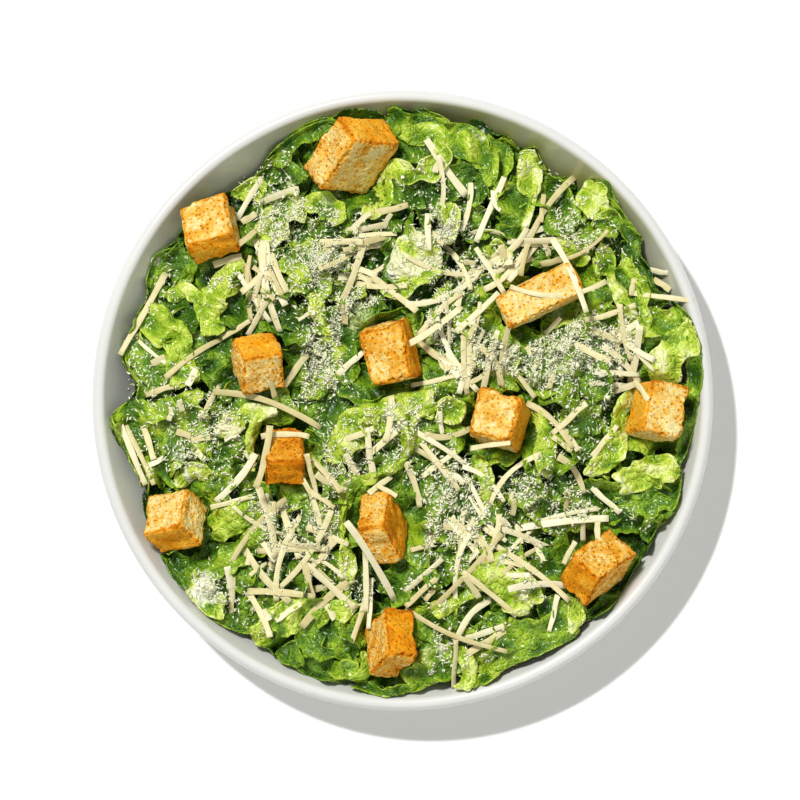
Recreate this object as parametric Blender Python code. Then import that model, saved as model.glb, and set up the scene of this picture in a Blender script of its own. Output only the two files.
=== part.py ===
"""A caesar salad in a round white bowl, at its real size.

The bowl is one turned solid with a rolled lip and a low foot ring. The chopped romaine is one solid heap that
fills the bowl and rises over its lip in leaf-shaped folds, and the toasted bread croutons sit in pockets on top.

Blender units are metres, +Z is up, and the origin is the middle of the foot ring's underside.
"""

import math
import random
from collections import namedtuple

import bmesh
import bpy
from mathutils import Matrix, Vector

MM = 0.001

# Bowl
RIM_RADIUS = 110 * MM  # to the outside of the lip
BOWL_HEIGHT = 68 * MM
LIP_RADIUS = 2.4 * MM  # of the lip's round edge
FOOT_RADIUS = 46 * MM  # where the outer wall leaves the foot ring
FOOT_HEIGHT = 3 * MM
FOOT_WIDTH = 5 * MM
FLOOR_RADIUS = 42 * MM  # of the flat inside
FLOOR_THICKNESS = 4 * MM
FLARE = 0.55  # power of the wall's curve: under 1 it starts flat and ends steep
BOWL_SIDES = 72
WALL_STEPS = 6
LIP_STEPS = 5

# Heap of leaves
CONTENT_GAP = 0.35 * MM  # between things that rest on each other
CROWN_RISE = 9 * MM  # the middle of the heap over the top of the lip
LEAST_DEPTH = 1.8 * MM  # of the leaves' edge below the lip's top, where they fill the bowl the most
DOME_POWER = 2.6
CRUMPLE = 1.6 * MM  # height of the small waves between the folds
HEAP_SIDES = 84
HEAP_RINGS = 21
SIDE_RINGS = 3

# How far out the leaves reach: bearing in degrees, counted from +X towards +Y, and radius in millimetres.
EDGE_REACH = (
    (0, 106.0),
    (30, 103.0),
    (45, 102.0),
    (60, 97.0),
    (75, 104.0),
    (110, 103.0),
    (125, 94.5),
    (138, 102.0),
    (150, 96.5),
    (158, 100.0),
    (180, 104.5),
    (208, 101.0),
    (240, 102.5),
    (270, 105.5),
    (300, 105.5),
    (320, 104.0),
    (345, 105.0),
    (360, 106.0),
)

# A fold is a leaf that stands out of the heap: it climbs gently from one long edge to a crest, then drops.
Fold = namedtuple("Fold", "east north heading length width height")
CREST_AT = 0.62  # share of the width where the crest lies
FOLDS = (
    Fold(13, 94, -12, 42, 17, 7.2),
    Fold(-8, 75, 40, 26, 13, 5.8),
    Fold(38, 67, 75, 33, 20, 8.0),
    Fold(68, 64, 80, 30, 17, 7.2),
    Fold(5, 51, 80, 26, 20, 4.3),
    Fold(82, 40, 105, 36, 18, 6.5),
    Fold(95, 19, 30, 22, 17, 7.2),
    Fold(86, -25, 20, 24, 14, 7.2),
    Fold(-80, 17, 115, 44, 20, 8.0),
    Fold(-64, 33, 65, 30, 14, 6.5),
    Fold(-65, 58, 48, 30, 26, 7.5),
    Fold(-42, 62, 30, 26, 16, 4.3),
    Fold(-34, 42, 100, 34, 16, 5.1),
    Fold(-8, -9, 20, 42, 20, 7.2),
    Fold(-22, -34, 70, 46, 13, 5.8),
    Fold(-72, -2, 10, 40, 13, 6.5),
    Fold(-66, -16, 25, 34, 22, 5.8),
    Fold(-66, -68, 60, 30, 20, 5.8),
    Fold(-60, -42, 40, 28, 16, 5.1),
    Fold(-40, -76, 45, 34, 18, 6.5),
    Fold(-24, -92, 110, 24, 18, 5.8),
    Fold(14, -96, 15, 36, 17, 6.5),
    Fold(48, -86, 15, 36, 22, 7.2),
    Fold(38, -66, -30, 30, 18, 8.0),
    Fold(48, -26, 10, 44, 20, 5.1),
    Fold(63, 6, 60, 34, 18, 5.1),
    Fold(20, 30, 20, 30, 18, 4.3),
    Fold(8, -62, -20, 30, 18, 4.3),
)

# A crouton is a cube of bread, given by the middle of it, its three sides, its turn about Z,
# then how far it tips over and towards which bearing (counted from +X towards +Y).
Crouton = namedtuple("Crouton", "east north sides turn tip towards")
CROUTONS = (
    Crouton(-17.5, 87.0, (27, 14, 25), 44, 46, 176),
    Crouton(-68.0, 60.5, (18, 19.5, 14), 14, 33, 117),
    Crouton(-50.9, 13.2, (15.5, 17, 16), -75, 56, 89),
    Crouton(-4.2, 17.1, (17.5, 21.5, 15), 14, 13, 203),
    Crouton(-41.6, -20.1, (15, 13, 18.5), 1, 47, -90),
    Crouton(-80.6, -42.7, (15, 18, 18), -26, 60, 11),
    Crouton(-7.0, -45.2, (20, 12, 19.5), -71, 46, 261),
    Crouton(34.2, -7.1, (17, 18, 19.5), -16, 19, 121),
    Crouton(48.2, 36.6, (31, 13.5, 14), 26, 5, 104),
    Crouton(90.3, -4.0, (16, 20, 16.5), -14, 24, 13),
    Crouton(68.7, -59.5, (22, 14.5, 18.5), 40, 38, 62),
    Crouton(-4.1, -85.8, (12.5, 20.5, 18.5), -1, 39, 45),
)
CROUTON_LIFT = 0.10  # the middle's height over the leaves there, as a share of the mean side
CROUTON_EDGE = 1.5 * MM  # radius of its worn edges
CLIMB_STEP = 0.25 * MM  # a crouton that would cut the wall is raised by this until it clears it
CORNER_SHIFT = 0.05  # how far a corner strays, as a share of the side
SEED = 7


def clear_scene():
    for obj in list(bpy.data.objects):
        bpy.data.objects.remove(obj, do_unlink=True)


def finish_material(name, colour, roughness):
    material = bpy.data.materials.new(name)
    material.use_nodes = True
    shader = material.node_tree.nodes["Principled BSDF"]
    shader.inputs["Base Color"].default_value = (*colour, 1)
    shader.inputs["Roughness"].default_value = roughness
    shader.inputs["Metallic"].default_value = 0
    return material


def new_object(name, mesh, material):
    mesh.materials.append(material)
    obj = bpy.data.objects.new(name, mesh)
    bpy.context.scene.collection.objects.link(obj)
    return obj


def wall_curve(height, low, high):
    """Radius at a height on the curve that leaves point low nearly flat and reaches point high steeply."""
    share = (height - low[1]) / (high[1] - low[1])
    return low[0] + (high[0] - low[0]) * max(share, 0.0) ** FLARE


def lip_frame():
    """Middle of the lip's round edge, and the lean of the wall there, which the round edge continues."""
    middle = (RIM_RADIUS - LIP_RADIUS, BOWL_HEIGHT - LIP_RADIUS)
    run = middle[0] - FOOT_RADIUS
    rise = middle[1] - FOOT_HEIGHT
    return middle, math.atan(FLARE * run / rise)


def lip_point(turn):
    """Point on the lip's round edge: turn 0 is where the outer wall ends, and pi is where the inner wall starts."""
    middle, lean = lip_frame()
    angle = turn - lean
    return (middle[0] + LIP_RADIUS * math.cos(angle), middle[1] + LIP_RADIUS * math.sin(angle))


def inner_radius(height):
    floor = (FLOOR_RADIUS, FOOT_HEIGHT + FLOOR_THICKNESS)
    return wall_curve(height, floor, lip_point(math.pi))


def bowl_profile():
    """Half section of the bowl as (radius, height), from under the middle, round the outside, back to the middle."""
    foot_inside = FOOT_RADIUS - FOOT_WIDTH
    floor_height = FOOT_HEIGHT + FLOOR_THICKNESS
    points = [(0, FOOT_HEIGHT), (foot_inside - FOOT_HEIGHT / 2, FOOT_HEIGHT), (foot_inside, 0)]
    points += [(FOOT_RADIUS - FOOT_HEIGHT / 3, 0), (FOOT_RADIUS, FOOT_HEIGHT / 3)]
    foot_top = (FOOT_RADIUS, FOOT_HEIGHT)
    outer_end = lip_point(0)
    inner_end = lip_point(math.pi)
    for step in range(WALL_STEPS):
        share = (step / WALL_STEPS) ** 1.7  # close together where the wall turns up
        height = foot_top[1] + share * (outer_end[1] - foot_top[1])
        points.append((wall_curve(height, foot_top, outer_end), height))
    for step in range(LIP_STEPS + 1):
        points.append(lip_point(math.pi * step / LIP_STEPS))
    for step in reversed(range(WALL_STEPS)):
        share = (step / WALL_STEPS) ** 1.7
        height = floor_height + share * (inner_end[1] - floor_height)
        points.append((inner_radius(height), height))
    return points + [(0, floor_height)]


def build_bowl(material):
    shape = bmesh.new()
    corners = [shape.verts.new((radius, 0, height)) for radius, height in bowl_profile()]
    line = [shape.edges.new(pair) for pair in zip(corners, corners[1:])]
    bmesh.ops.spin(
        shape,
        geom=corners + line,
        cent=(0, 0, 0),
        axis=(0, 0, 1),
        angle=2 * math.pi,
        steps=BOWL_SIDES,
        use_merge=True,
    )
    bmesh.ops.remove_doubles(shape, verts=shape.verts, dist=0.01 * MM)
    bmesh.ops.recalc_face_normals(shape, faces=shape.faces)
    mesh = bpy.data.meshes.new("bowl")
    shape.to_mesh(mesh)
    shape.free()
    mesh.shade_smooth()
    return new_object("bowl", mesh, material)


def edge_height(bearing):
    """Height at which the leaves meet the wall: where the wall has the radius that they reach at this bearing."""
    degrees = math.degrees(bearing) % 360
    after = next(place for place, reach in enumerate(EDGE_REACH) if reach[0] > degrees)
    (start, near), (end, far) = EDGE_REACH[after - 1], EDGE_REACH[after]
    share = (degrees - start) / (end - start)
    blend = share * share * (3 - 2 * share)
    radius = (near + (far - near) * blend) * MM
    top_radius, top_height = lip_point(math.pi)
    rise = (radius - FLOOR_RADIUS) / (top_radius - FLOOR_RADIUS)
    floor_height = FOOT_HEIGHT + FLOOR_THICKNESS
    height = floor_height + (top_height - floor_height) * rise ** (1 / FLARE)
    return min(height, BOWL_HEIGHT - LEAST_DEPTH)


def fold_height(fold, east, north):
    """Height that one fold adds at a place: a soft rise to the crest, a steep drop past it, rounded ends."""
    heading = math.radians(fold.heading)
    along = (east - fold.east) * math.cos(heading) + (north - fold.north) * math.sin(heading)
    across = (north - fold.north) * math.cos(heading) - (east - fold.east) * math.sin(heading)
    across += 0.12 * fold.width * math.sin(2.2 * math.pi * along / fold.length)  # a wavy leaf, not a straight bar
    lengthwise = 1 - (2 * along / fold.length) ** 4
    share = across / fold.width + 0.5
    if lengthwise <= 0 or not 0 < share < 1:
        return 0.0
    rise = share / CREST_AT if share < CREST_AT else (1 - share) / (1 - CREST_AT)
    return fold.height * lengthwise * (2 - rise) * rise


def crumple(east, north):
    """Small waves of the leaves between the folds, as crossing ripples, from -1 to 1."""
    ripple = math.sin(0.33 * east + 1.3 * math.sin(0.17 * north))
    return ripple * math.cos(0.29 * north + 1.1 * math.sin(0.21 * east + 0.6))


def heap_height(x, y):
    """Top of the heap: a low dome between the wall and the crown, with the folds and waves on it."""
    bearing = math.atan2(y, x)
    edge = edge_height(bearing)
    reach = min(math.hypot(x, y) / inner_radius(edge), 1.0)
    dome = edge + (BOWL_HEIGHT + CROWN_RISE - edge) * (1 - reach**DOME_POWER)
    east, north = x / MM, y / MM
    relief = max(fold_height(fold, east, north) for fold in FOLDS) * MM
    fade = 1 - 0.7 * reach**8
    return dome + (relief + CRUMPLE * crumple(east, north)) * fade


def build_heap(material):
    """Rings of points on the top, from the middle out, then rings down the wall and a closing floor."""
    shape = bmesh.new()
    rings = [[shape.verts.new((0, 0, heap_height(0, 0)))]]
    bearings = [2 * math.pi * side / HEAP_SIDES for side in range(HEAP_SIDES)]
    for ring in range(1, HEAP_RINGS + 1):
        share = (ring / HEAP_RINGS) ** 0.85
        row = []
        for bearing in bearings:
            radius = share * (inner_radius(edge_height(bearing)) - CONTENT_GAP)
            x, y = radius * math.cos(bearing), radius * math.sin(bearing)
            row.append(shape.verts.new((x, y, heap_height(x, y) if ring < HEAP_RINGS else edge_height(bearing))))
        rings.append(row)
    floor_height = FOOT_HEIGHT + FLOOR_THICKNESS + CONTENT_GAP
    for ring in range(1, SIDE_RINGS + 1):
        down = (ring / SIDE_RINGS) ** 0.7
        row = []
        for bearing in bearings:
            height = edge_height(bearing) * (1 - down) + floor_height * down
            radius = inner_radius(height - CONTENT_GAP) - 2 * CONTENT_GAP
            row.append(shape.verts.new((radius * math.cos(bearing), radius * math.sin(bearing), height)))
        rings.append(row)
    rings.append([shape.verts.new((0, 0, floor_height))])
    for upper, lower in zip(rings, rings[1:]):
        for side in range(HEAP_SIDES):
            after = (side + 1) % HEAP_SIDES
            if len(upper) == 1:
                shape.faces.new((upper[0], lower[side], lower[after]))
            elif len(lower) == 1:
                shape.faces.new((upper[side], lower[0], upper[after]))
            else:
                shape.faces.new((upper[side], lower[side], lower[after], upper[after]))
    bmesh.ops.recalc_face_normals(shape, faces=shape.faces)
    mesh = bpy.data.meshes.new("salad")
    shape.to_mesh(mesh)
    shape.free()
    return new_object("salad", mesh, material)


def clears_wall(frame, sides):
    """True if every corner of a box in this frame is inside the bowl's wall, or over the lip."""
    for corner in range(8):
        signs = [1 if corner >> axis & 1 else -1 for axis in range(3)]
        point = frame @ Vector([sign * side * MM / 2 for sign, side in zip(signs, sides)])
        radius = math.hypot(point.x, point.y) + 2 * CONTENT_GAP
        wall_radius = inner_radius(min(point.z, BOWL_HEIGHT - 2 * LIP_RADIUS))
        if point.z < BOWL_HEIGHT + CONTENT_GAP and radius > wall_radius:
            return False
    return True


def crouton_frame(crouton):
    """Where a crouton sits: turned about Z, tipped over, set a little into the leaves, raised clear of the wall."""
    towards = math.radians(crouton.towards)
    tip_axis = Vector((-math.sin(towards), math.cos(towards), 0))
    turned = Matrix.Rotation(math.radians(crouton.turn), 4, "Z")
    tipped = Matrix.Rotation(math.radians(crouton.tip), 4, tip_axis)
    x, y = crouton.east * MM, crouton.north * MM
    height = heap_height(x, y) + CROUTON_LIFT * sum(crouton.sides) / 3 * MM
    frame = Matrix.Translation((x, y, height)) @ tipped @ turned
    while not clears_wall(frame, crouton.sides):
        frame = Matrix.Translation((0, 0, CLIMB_STEP)) @ frame
    return frame


def build_crouton(name, crouton, seed, grow, material):
    """A bread cube with strayed corners and worn edges. grow is how much each face moves out, for a cutter."""
    stray = random.Random(seed)
    shape = bmesh.new()
    bmesh.ops.create_cube(shape, size=1)
    for corner in shape.verts:
        for axis in range(3):
            side = crouton.sides[axis] * MM
            shift = 1 + 2 * CORNER_SHIFT * stray.uniform(-1, 0.6)
            corner.co[axis] *= side * shift + 2 * grow
    bmesh.ops.bevel(
        shape, geom=shape.edges[:], offset=CROUTON_EDGE, segments=2, profile=0.5, affect="EDGES", clamp_overlap=True
    )
    bmesh.ops.triangulate(shape, faces=shape.faces)
    mesh = bpy.data.meshes.new(name)
    shape.to_mesh(mesh)
    shape.free()
    obj = new_object(name, mesh, material)
    obj.matrix_world = crouton_frame(crouton)
    return obj


def cut_pocket(heap, cutter):
    cutter.hide_render = True
    cutter.display_type = "WIRE"
    pocket = heap.modifiers.new("pocket_" + cutter.name, "BOOLEAN")
    pocket.operation = "DIFFERENCE"
    pocket.object = cutter


def main():
    clear_scene()
    white_glaze = finish_material("white_glaze", (0.9, 0.9, 0.88), 0.2)
    romaine = finish_material("romaine", (0.16, 0.32, 0.05), 0.45)
    toast = finish_material("toast", (0.78, 0.42, 0.1), 0.75)
    build_bowl(white_glaze)
    heap = build_heap(romaine)
    for number, crouton in enumerate(CROUTONS, 1):
        name = f"crouton_{number:02d}"
        build_crouton(name, crouton, SEED + number, 0, toast)
        cutter = build_crouton("cutter_" + name, crouton, SEED + number, CONTENT_GAP, toast)
        cut_pocket(heap, cutter)


main()
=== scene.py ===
# %% [markdown]
# # A caesar salad in a white bowl
#
# The plain model gives the bowl, a closed heap of leaves and twelve bread cubes, all at their real size.
# This lesson dresses it as food: a glazed bowl, chopped romaine laid leaf on leaf, toasted croutons,
# shredded and grated hard cheese, and a little dressing. The first cell loads the plain model as a fixed
# frame, and every place comes from it. Lengths are worked out in millimetres and turned into Blender's
# metres when a mesh is made.

# %% Load the frame
import math
from collections import namedtuple

import bpy
import numpy as np
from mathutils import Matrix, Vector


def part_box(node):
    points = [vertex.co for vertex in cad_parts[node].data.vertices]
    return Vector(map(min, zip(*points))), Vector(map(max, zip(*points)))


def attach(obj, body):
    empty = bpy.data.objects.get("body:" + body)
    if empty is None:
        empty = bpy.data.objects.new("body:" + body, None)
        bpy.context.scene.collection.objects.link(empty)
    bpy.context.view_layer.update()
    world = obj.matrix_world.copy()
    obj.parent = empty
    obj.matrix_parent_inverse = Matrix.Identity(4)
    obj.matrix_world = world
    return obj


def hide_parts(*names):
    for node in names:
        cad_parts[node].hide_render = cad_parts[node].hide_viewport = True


MM = 0.001
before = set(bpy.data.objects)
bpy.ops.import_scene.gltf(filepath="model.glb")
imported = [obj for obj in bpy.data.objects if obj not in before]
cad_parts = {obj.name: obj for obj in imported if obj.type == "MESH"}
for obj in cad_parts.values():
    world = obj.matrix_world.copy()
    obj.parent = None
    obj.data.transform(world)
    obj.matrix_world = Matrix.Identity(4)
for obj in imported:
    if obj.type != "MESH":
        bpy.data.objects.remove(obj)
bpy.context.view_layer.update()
bowl_high = np.array(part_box("bowl")[1]) / MM
RIM_RADIUS = bowl_high[0]
BOWL_HEIGHT = bowl_high[2]
CROUTONS = sorted(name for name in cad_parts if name.startswith("crouton"))
print(f"bowl {2 * RIM_RADIUS:.1f} mm across and {BOWL_HEIGHT:.1f} mm high, {len(CROUTONS)} croutons")

# %% [markdown]
# ## Meshes from arrays
#
# Every piece here is a grid of points computed as one numpy array. Blender takes such arrays whole, with
# foreach_set, which is quick even for a hundred thousand faces. Values that belong to a point of a leaf,
# such as how pale it is, travel with the mesh as attributes, so that a material can read them.


# %% From arrays to a Blender object
def new_object(name, points, faces, material, attributes=None):
    """One mesh object from points in mm and an array of faces that all have the same number of corners."""
    mesh = bpy.data.meshes.new(name)
    mesh.vertices.add(len(points))
    mesh.vertices.foreach_set("co", np.ascontiguousarray(points * MM, np.float32).ravel())
    corners = faces.shape[1]
    mesh.loops.add(faces.size)
    mesh.loops.foreach_set("vertex_index", faces.astype(np.int32).ravel())
    mesh.polygons.add(len(faces))
    mesh.polygons.foreach_set("loop_start", np.arange(0, faces.size, corners, dtype=np.int32))
    mesh.update(calc_edges=True)
    mesh.validate()
    mesh.shade_smooth()
    for key, values in (attributes or {}).items():
        layer = mesh.attributes.new(key, "FLOAT", "POINT")
        layer.data.foreach_set("value", values.astype(np.float32).ravel())
    mesh.materials.append(material)
    piece = bpy.data.objects.new(name, mesh)
    bpy.context.scene.collection.objects.link(piece)
    print(f"{name}: {len(faces) * (corners - 2)} triangles")
    return piece


def grid_faces(rows, columns):
    """Quads between neighbouring points of a grid, facing the side that rows cross columns points to."""
    index = np.arange(rows * columns).reshape(rows, columns)
    return np.stack([index[:-1, :-1], index[1:, :-1], index[1:, 1:], index[:-1, 1:]], -1).reshape(-1, 4)


def joined(parts):
    """Several (points, faces, attributes) as one, with the faces counted on."""
    starts = np.cumsum([0] + [len(points) for points, _, _ in parts])
    points = np.concatenate([points for points, _, _ in parts])
    faces = np.concatenate([faces + start for (_, faces, _), start in zip(parts, starts)])
    keys = parts[0][2].keys()
    return points, faces, {key: np.concatenate([part[2][key].ravel() for part in parts]) for key in keys}


# %% [markdown]
# ## Chance that repeats
#
# Food is never regular, but a script must give the same salad every time. Each piece therefore draws from
# its own seeded dice. Soft unevenness is a sum of sine waves in random directions, which is smooth at any
# distance.


# %% Soft random waves
def dice_for(*seed):
    """Dice that always fall the same way for the same seed."""
    return np.random.default_rng(seed)


def ripples(spots, wavelength, dice, count=6):
    """Waves about one wavelength long over spots (..., 2 or 3), as a sum of sines in random directions.
    They are about 1 high."""
    direction = dice.normal(size=(spots.shape[-1], count))
    direction /= np.linalg.norm(direction, axis=0)
    pitch = 2 * np.pi / (wavelength * dice.uniform(0.7, 1.4, count))
    waves = np.sin(spots @ (direction * pitch) + dice.uniform(0, 2 * np.pi, count))
    return waves.sum(-1) * math.sqrt(2 / count)


def smoothstep(low, high, value):
    """0 below low, 1 above high, and a soft S between them."""
    share = np.clip((value - low) / (high - low), 0, 1)
    return share * share * (3 - 2 * share)


# %% [markdown]
# ## Materials
#
# All finishes are Principled shaders. A small helper adds a node and links its inputs in one line, so that
# each material below reads as a list of what changes its colour. Patterns use Object coordinates, which are
# metres here.


# %% Node helper
class Finish:
    """A material being made. Its functions add nodes and give their outputs, and done() closes it."""

    def __init__(self, name):
        self.material = bpy.data.materials.new(name)
        self.material.use_nodes = True
        self.tree = self.material.node_tree
        self.shader = self.tree.nodes["Principled BSDF"]

    def put(self, socket, value):
        """Links an output to a socket, or sets the socket to a number or a colour."""
        if isinstance(value, bpy.types.NodeSocket):
            self.tree.links.new(value, socket)
        elif isinstance(value, tuple) and len(value) == 3 and socket.type == "RGBA":
            socket.default_value = (*value, 1)
        else:
            socket.default_value = value

    def add(self, kind, inputs=(), output=0, **settings):
        """Makes a node with some settings, sets or links its inputs, and gives one of its outputs."""
        node = self.tree.nodes.new(kind)
        for key, value in settings.items():
            setattr(node, key, value)
        for key, value in dict(inputs).items():
            self.put(node.inputs[key], value)
        return node.outputs[output]

    def attribute(self, name):
        """A value that travels with the mesh."""
        return self.add("ShaderNodeAttribute", output="Fac", attribute_name=name)

    def where(self):
        """Object coordinates, in metres."""
        return self.add("ShaderNodeTexCoord", output="Object")

    def noise(self, pitch_mm, detail=3.0, roughness=0.55):
        """Noise whose lumps are about pitch_mm apart."""
        scale = 1 / (pitch_mm * MM)
        inputs = {"Vector": self.where(), "Scale": scale, "Detail": detail, "Roughness": roughness}
        return self.add("ShaderNodeTexNoise", inputs)

    def math(self, operation, first, second=0.0, third=0.0):
        """What a Math node makes of up to three values."""
        return self.add("ShaderNodeMath", {0: first, 1: second, 2: third}, operation=operation)

    def mix(self, share, first, second):
        """A colour between two. A Mix node keeps its colours in sockets 6 and 7, and gives output 2."""
        node = self.tree.nodes.new("ShaderNodeMix")
        node.data_type = "RGBA"
        self.put(node.inputs[0], share)
        self.put(node.inputs[6], first)
        self.put(node.inputs[7], second)
        return node.outputs[2]

    def ramp(self, share, stops):
        """A colour for each share, through stops of (share, colour)."""
        node = self.tree.nodes.new("ShaderNodeValToRGB")
        self.put(node.inputs[0], share)
        while len(node.color_ramp.elements) < len(stops):
            node.color_ramp.elements.new(0.5)
        for element, (place, colour) in zip(node.color_ramp.elements, stops):
            element.position = place
            element.color = (*colour, 1)
        return node.outputs[0]

    def bump(self, height, depth_mm, strength=1.0, normal=None):
        """A normal tilted by the slopes of a height, where 1 is depth_mm high. It may start from another
        normal."""
        inputs = {"Strength": strength, "Distance": depth_mm * MM, "Height": height}
        if normal is not None:
            inputs["Normal"] = normal
        return self.add("ShaderNodeBump", inputs)

    def done(self, **inputs):
        """Sets the shader's sockets, such as base_color for Base Color, and gives the finished material."""
        for key, value in inputs.items():
            self.put(self.shader.inputs[key.replace("_", " ").title().replace("Ior", "IOR")], value)
        return self.material


# %% [markdown]
# ## The bowl
#
# A bowl like this is turned on a wheel or pressed, and comes out round, so its surface is one profile
# carried round the axis. The wall leaves the foot nearly flat and ends steep, and its lip is rolled. The
# plain model's bowl has 72 flat sides. This one follows the same curve with 288, which the eye reads as
# round.

# %% The bowl's curves
LIP_RADIUS = 2.4
FOOT_RADIUS = 46.0
FOOT_HEIGHT = 3.0
FOOT_WIDTH = 5.0
FLOOR_RADIUS = 42.0  # where the flat floor inside the bowl ends
FLOOR_HEIGHT = 7.0
FLARE = 0.55  # under 1, the wall spreads first and rises later
BOWL_SIDES = 288


def lip_point(turn):
    """Point on the lip's round edge: the outer wall ends at turn 0, and the inner wall starts at turn
    pi."""
    middle = np.array([RIM_RADIUS - LIP_RADIUS, BOWL_HEIGHT - LIP_RADIUS])
    angle = turn - math.atan(FLARE * (middle[0] - FOOT_RADIUS) / (middle[1] - FOOT_HEIGHT))
    return middle + LIP_RADIUS * np.stack([np.cos(angle), np.sin(angle)], -1)


def wall_points(low, high, steps):
    """A wall as (radius, height): the radius grows with the power FLARE of the share of the height."""
    share = np.linspace(0, 1, steps) ** 1.7  # closer together at the bottom, where the wall bends most
    radius = low[0] + (high[0] - low[0]) * share**FLARE
    return np.stack([radius, low[1] + (high[1] - low[1]) * share], -1)


INNER_WALL = wall_points((FLOOR_RADIUS, FLOOR_HEIGHT), lip_point(np.pi), 60)
OUTER_WALL = wall_points((FOOT_RADIUS, FOOT_HEIGHT), lip_point(0.0), 60)
print(f"the walls end {INNER_WALL[-1, 0]:.1f} and {OUTER_WALL[-1, 0]:.1f} mm from the axis")


def inner_height(radius):
    """Height of the bowl's inside at each radius, with the lip's round top and a flat floor."""
    lip = np.sqrt(np.clip(LIP_RADIUS**2 - (radius - RIM_RADIUS + LIP_RADIUS) ** 2, 0, None))
    wall = np.interp(radius, INNER_WALL[:, 0], INNER_WALL[:, 1], left=FLOOR_HEIGHT)
    return np.where(radius > RIM_RADIUS - 1.8 * LIP_RADIUS, BOWL_HEIGHT - LIP_RADIUS + lip, wall)


# %% Turning a profile
def turned(profile, sides):
    """A profile of (radius, height) carried round the axis, closed where it starts and ends on the axis."""
    bearing = np.linspace(0, 2 * np.pi, sides, endpoint=False)
    rings = profile[1:-1]
    x = rings[:, 0, None] * np.cos(bearing)
    y = rings[:, 0, None] * np.sin(bearing)
    z = np.broadcast_to(rings[:, 1, None], x.shape)
    ring_points = np.stack([x, y, z], -1).reshape(-1, 3)
    points = np.concatenate([ring_points, [[0, 0, profile[0, 1]], [0, 0, profile[-1, 1]]]])
    index = np.arange(len(ring_points)).reshape(len(rings), sides)
    after = np.roll(index, -1, axis=1)
    quads = np.stack([index[:-1], after[:-1], after[1:], index[1:]], -1).reshape(-1, 4)
    start, end = len(ring_points), len(ring_points) + 1
    cap = np.stack([np.full(sides, start), after[0], index[0]], -1)
    lid = np.stack([np.full(sides, end), index[-1], after[-1]], -1)
    return points, quads, np.concatenate([cap, lid])


def from_profile(name, profile, sides, material, value_at=None):
    """A turned object: quads round the axis, and a fan of triangles at each end of the profile."""
    points, quads, fans = turned(profile, sides)
    triangles = np.concatenate([quads[:, [0, 1, 2]], quads[:, [0, 2, 3]], fans])
    return new_object(name, points, triangles, material, value_at(points) if value_at else None)


# %% Outline of the heap
OUTLINE = (  # bearing in degrees and radius in mm, where leaf tips reach over the wall or leave it bare
    (0, 105), (5, 107), (10, 107.5), (16, 106.5), (19, 103), (22, 99), (25, 97), (28, 99), (32, 97.5),
    (34, 103.5), (39, 102.5), (44, 103.5), (46.5, 107.5), (49, 103.5), (53, 100), (56, 95.5), (60, 97),
    (62, 101.5), (65, 97), (69, 100.5), (71, 98.5), (74, 103), (80, 101.5), (86, 103.5), (89, 102),
    (92, 105.5), (95, 102), (99, 104.5), (106, 103.5), (112, 102.5), (118, 99), (121, 96), (127, 95.5),
    (134, 98), (146, 98), (150, 102), (155, 100), (158, 97), (165, 100), (171, 101), (174, 97.5),
    (177, 92.5), (180, 96), (183, 104.5), (186, 104), (190, 100), (197, 97), (203, 99), (213, 102),
    (220, 103), (227, 104.5), (233, 102), (237, 100), (239, 102), (241.5, 99.5), (245, 103), (251, 103.5),
    (257, 102.5), (262, 103.5), (267, 105.5), (272, 103.5), (276, 101), (280, 103.5), (282, 108.5),
    (284, 106), (289, 103), (293, 104), (300, 104), (306, 106.5), (309, 102), (315, 104), (323, 101.5),
    (333, 101), (338, 104.5), (343, 103.5), (347, 101.5), (355, 104), (360, 105),
)


def edge_radius(bearing):
    """Radius of the heap's outline at a bearing in radians: straight between the places of OUTLINE."""
    return np.interp(np.degrees(bearing) % 360, *np.array(OUTLINE).T)


# %% The bowl's glaze
glaze = Finish("white_glaze")
cloud = glaze.noise(40, detail=2)
plain_white = glaze.ramp(cloud, [(0.3, (0.65, 0.65, 0.635)), (0.7, (0.68, 0.68, 0.665))])
white_glaze = glaze.done(
    # The glaze is mixed towards olive by painted shade and painted green reflection of the leaves.
    base_color=glaze.mix(glaze.attribute("stain"), plain_white, (0.26, 0.26, 0.04)),
    roughness=0.22,
    normal=glaze.bump(glaze.noise(14, detail=1), 0.05, 0.3),
    coat_weight=0.3,
    coat_roughness=0.08,
)

# %% The bowl's mesh
foot_inside = FOOT_RADIUS - FOOT_WIDTH
foot_turn = np.linspace(0, np.pi / 2, 8)
foot_edge = np.stack([FOOT_RADIUS - 1 + np.sin(foot_turn), 1 - np.cos(foot_turn)], -1)
under = [
    (0, FOOT_HEIGHT),
    (foot_inside - 3, FOOT_HEIGHT),
    (foot_inside - 1.5, FOOT_HEIGHT),
    (foot_inside - 0.5, 0.7),
]
bowl_profile = np.concatenate(
    [
        under,
        [(foot_inside, 0)],
        foot_edge,
        OUTER_WALL[:-1],
        lip_point(np.linspace(0, np.pi, 18)),
        INNER_WALL[-2::-1],
        [(FLOOR_RADIUS / 2, FLOOR_HEIGHT), (0, FLOOR_HEIGHT)],
    ]
)


def bell(bearing, middle, width):
    """1 where a bearing, in radians, meets the middle, and less beside it. The other two are in degrees."""
    return np.exp(-((((np.degrees(bearing) - middle + 180) % 360 - 180) / width) ** 2))


def wall_painted_shade_reflection(points):
    """Painted shade and painted green reflection of the leaves on the inner wall: most next to the leaves
    and at the back, and fading out on the lip.
    """
    reach, bearing = np.hypot(points[:, 0], points[:, 1]), np.arctan2(points[:, 1], points[:, 0])
    inside = np.abs(points[:, 2] - inner_height(reach)) < 0.3
    over = np.clip(reach - edge_radius(bearing), 0, None)
    below_lip = 1 - smoothstep(105.3, 107.6, reach)
    # The painted shade and reflection are strongest at the back, round 64 degrees.
    amount = 0.11 + 0.85 * bell(bearing, 64, 46)  # 64 degrees is at the back, a little to the right
    return {"stain": inside * below_lip * np.exp(-over / 14) * amount}


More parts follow.
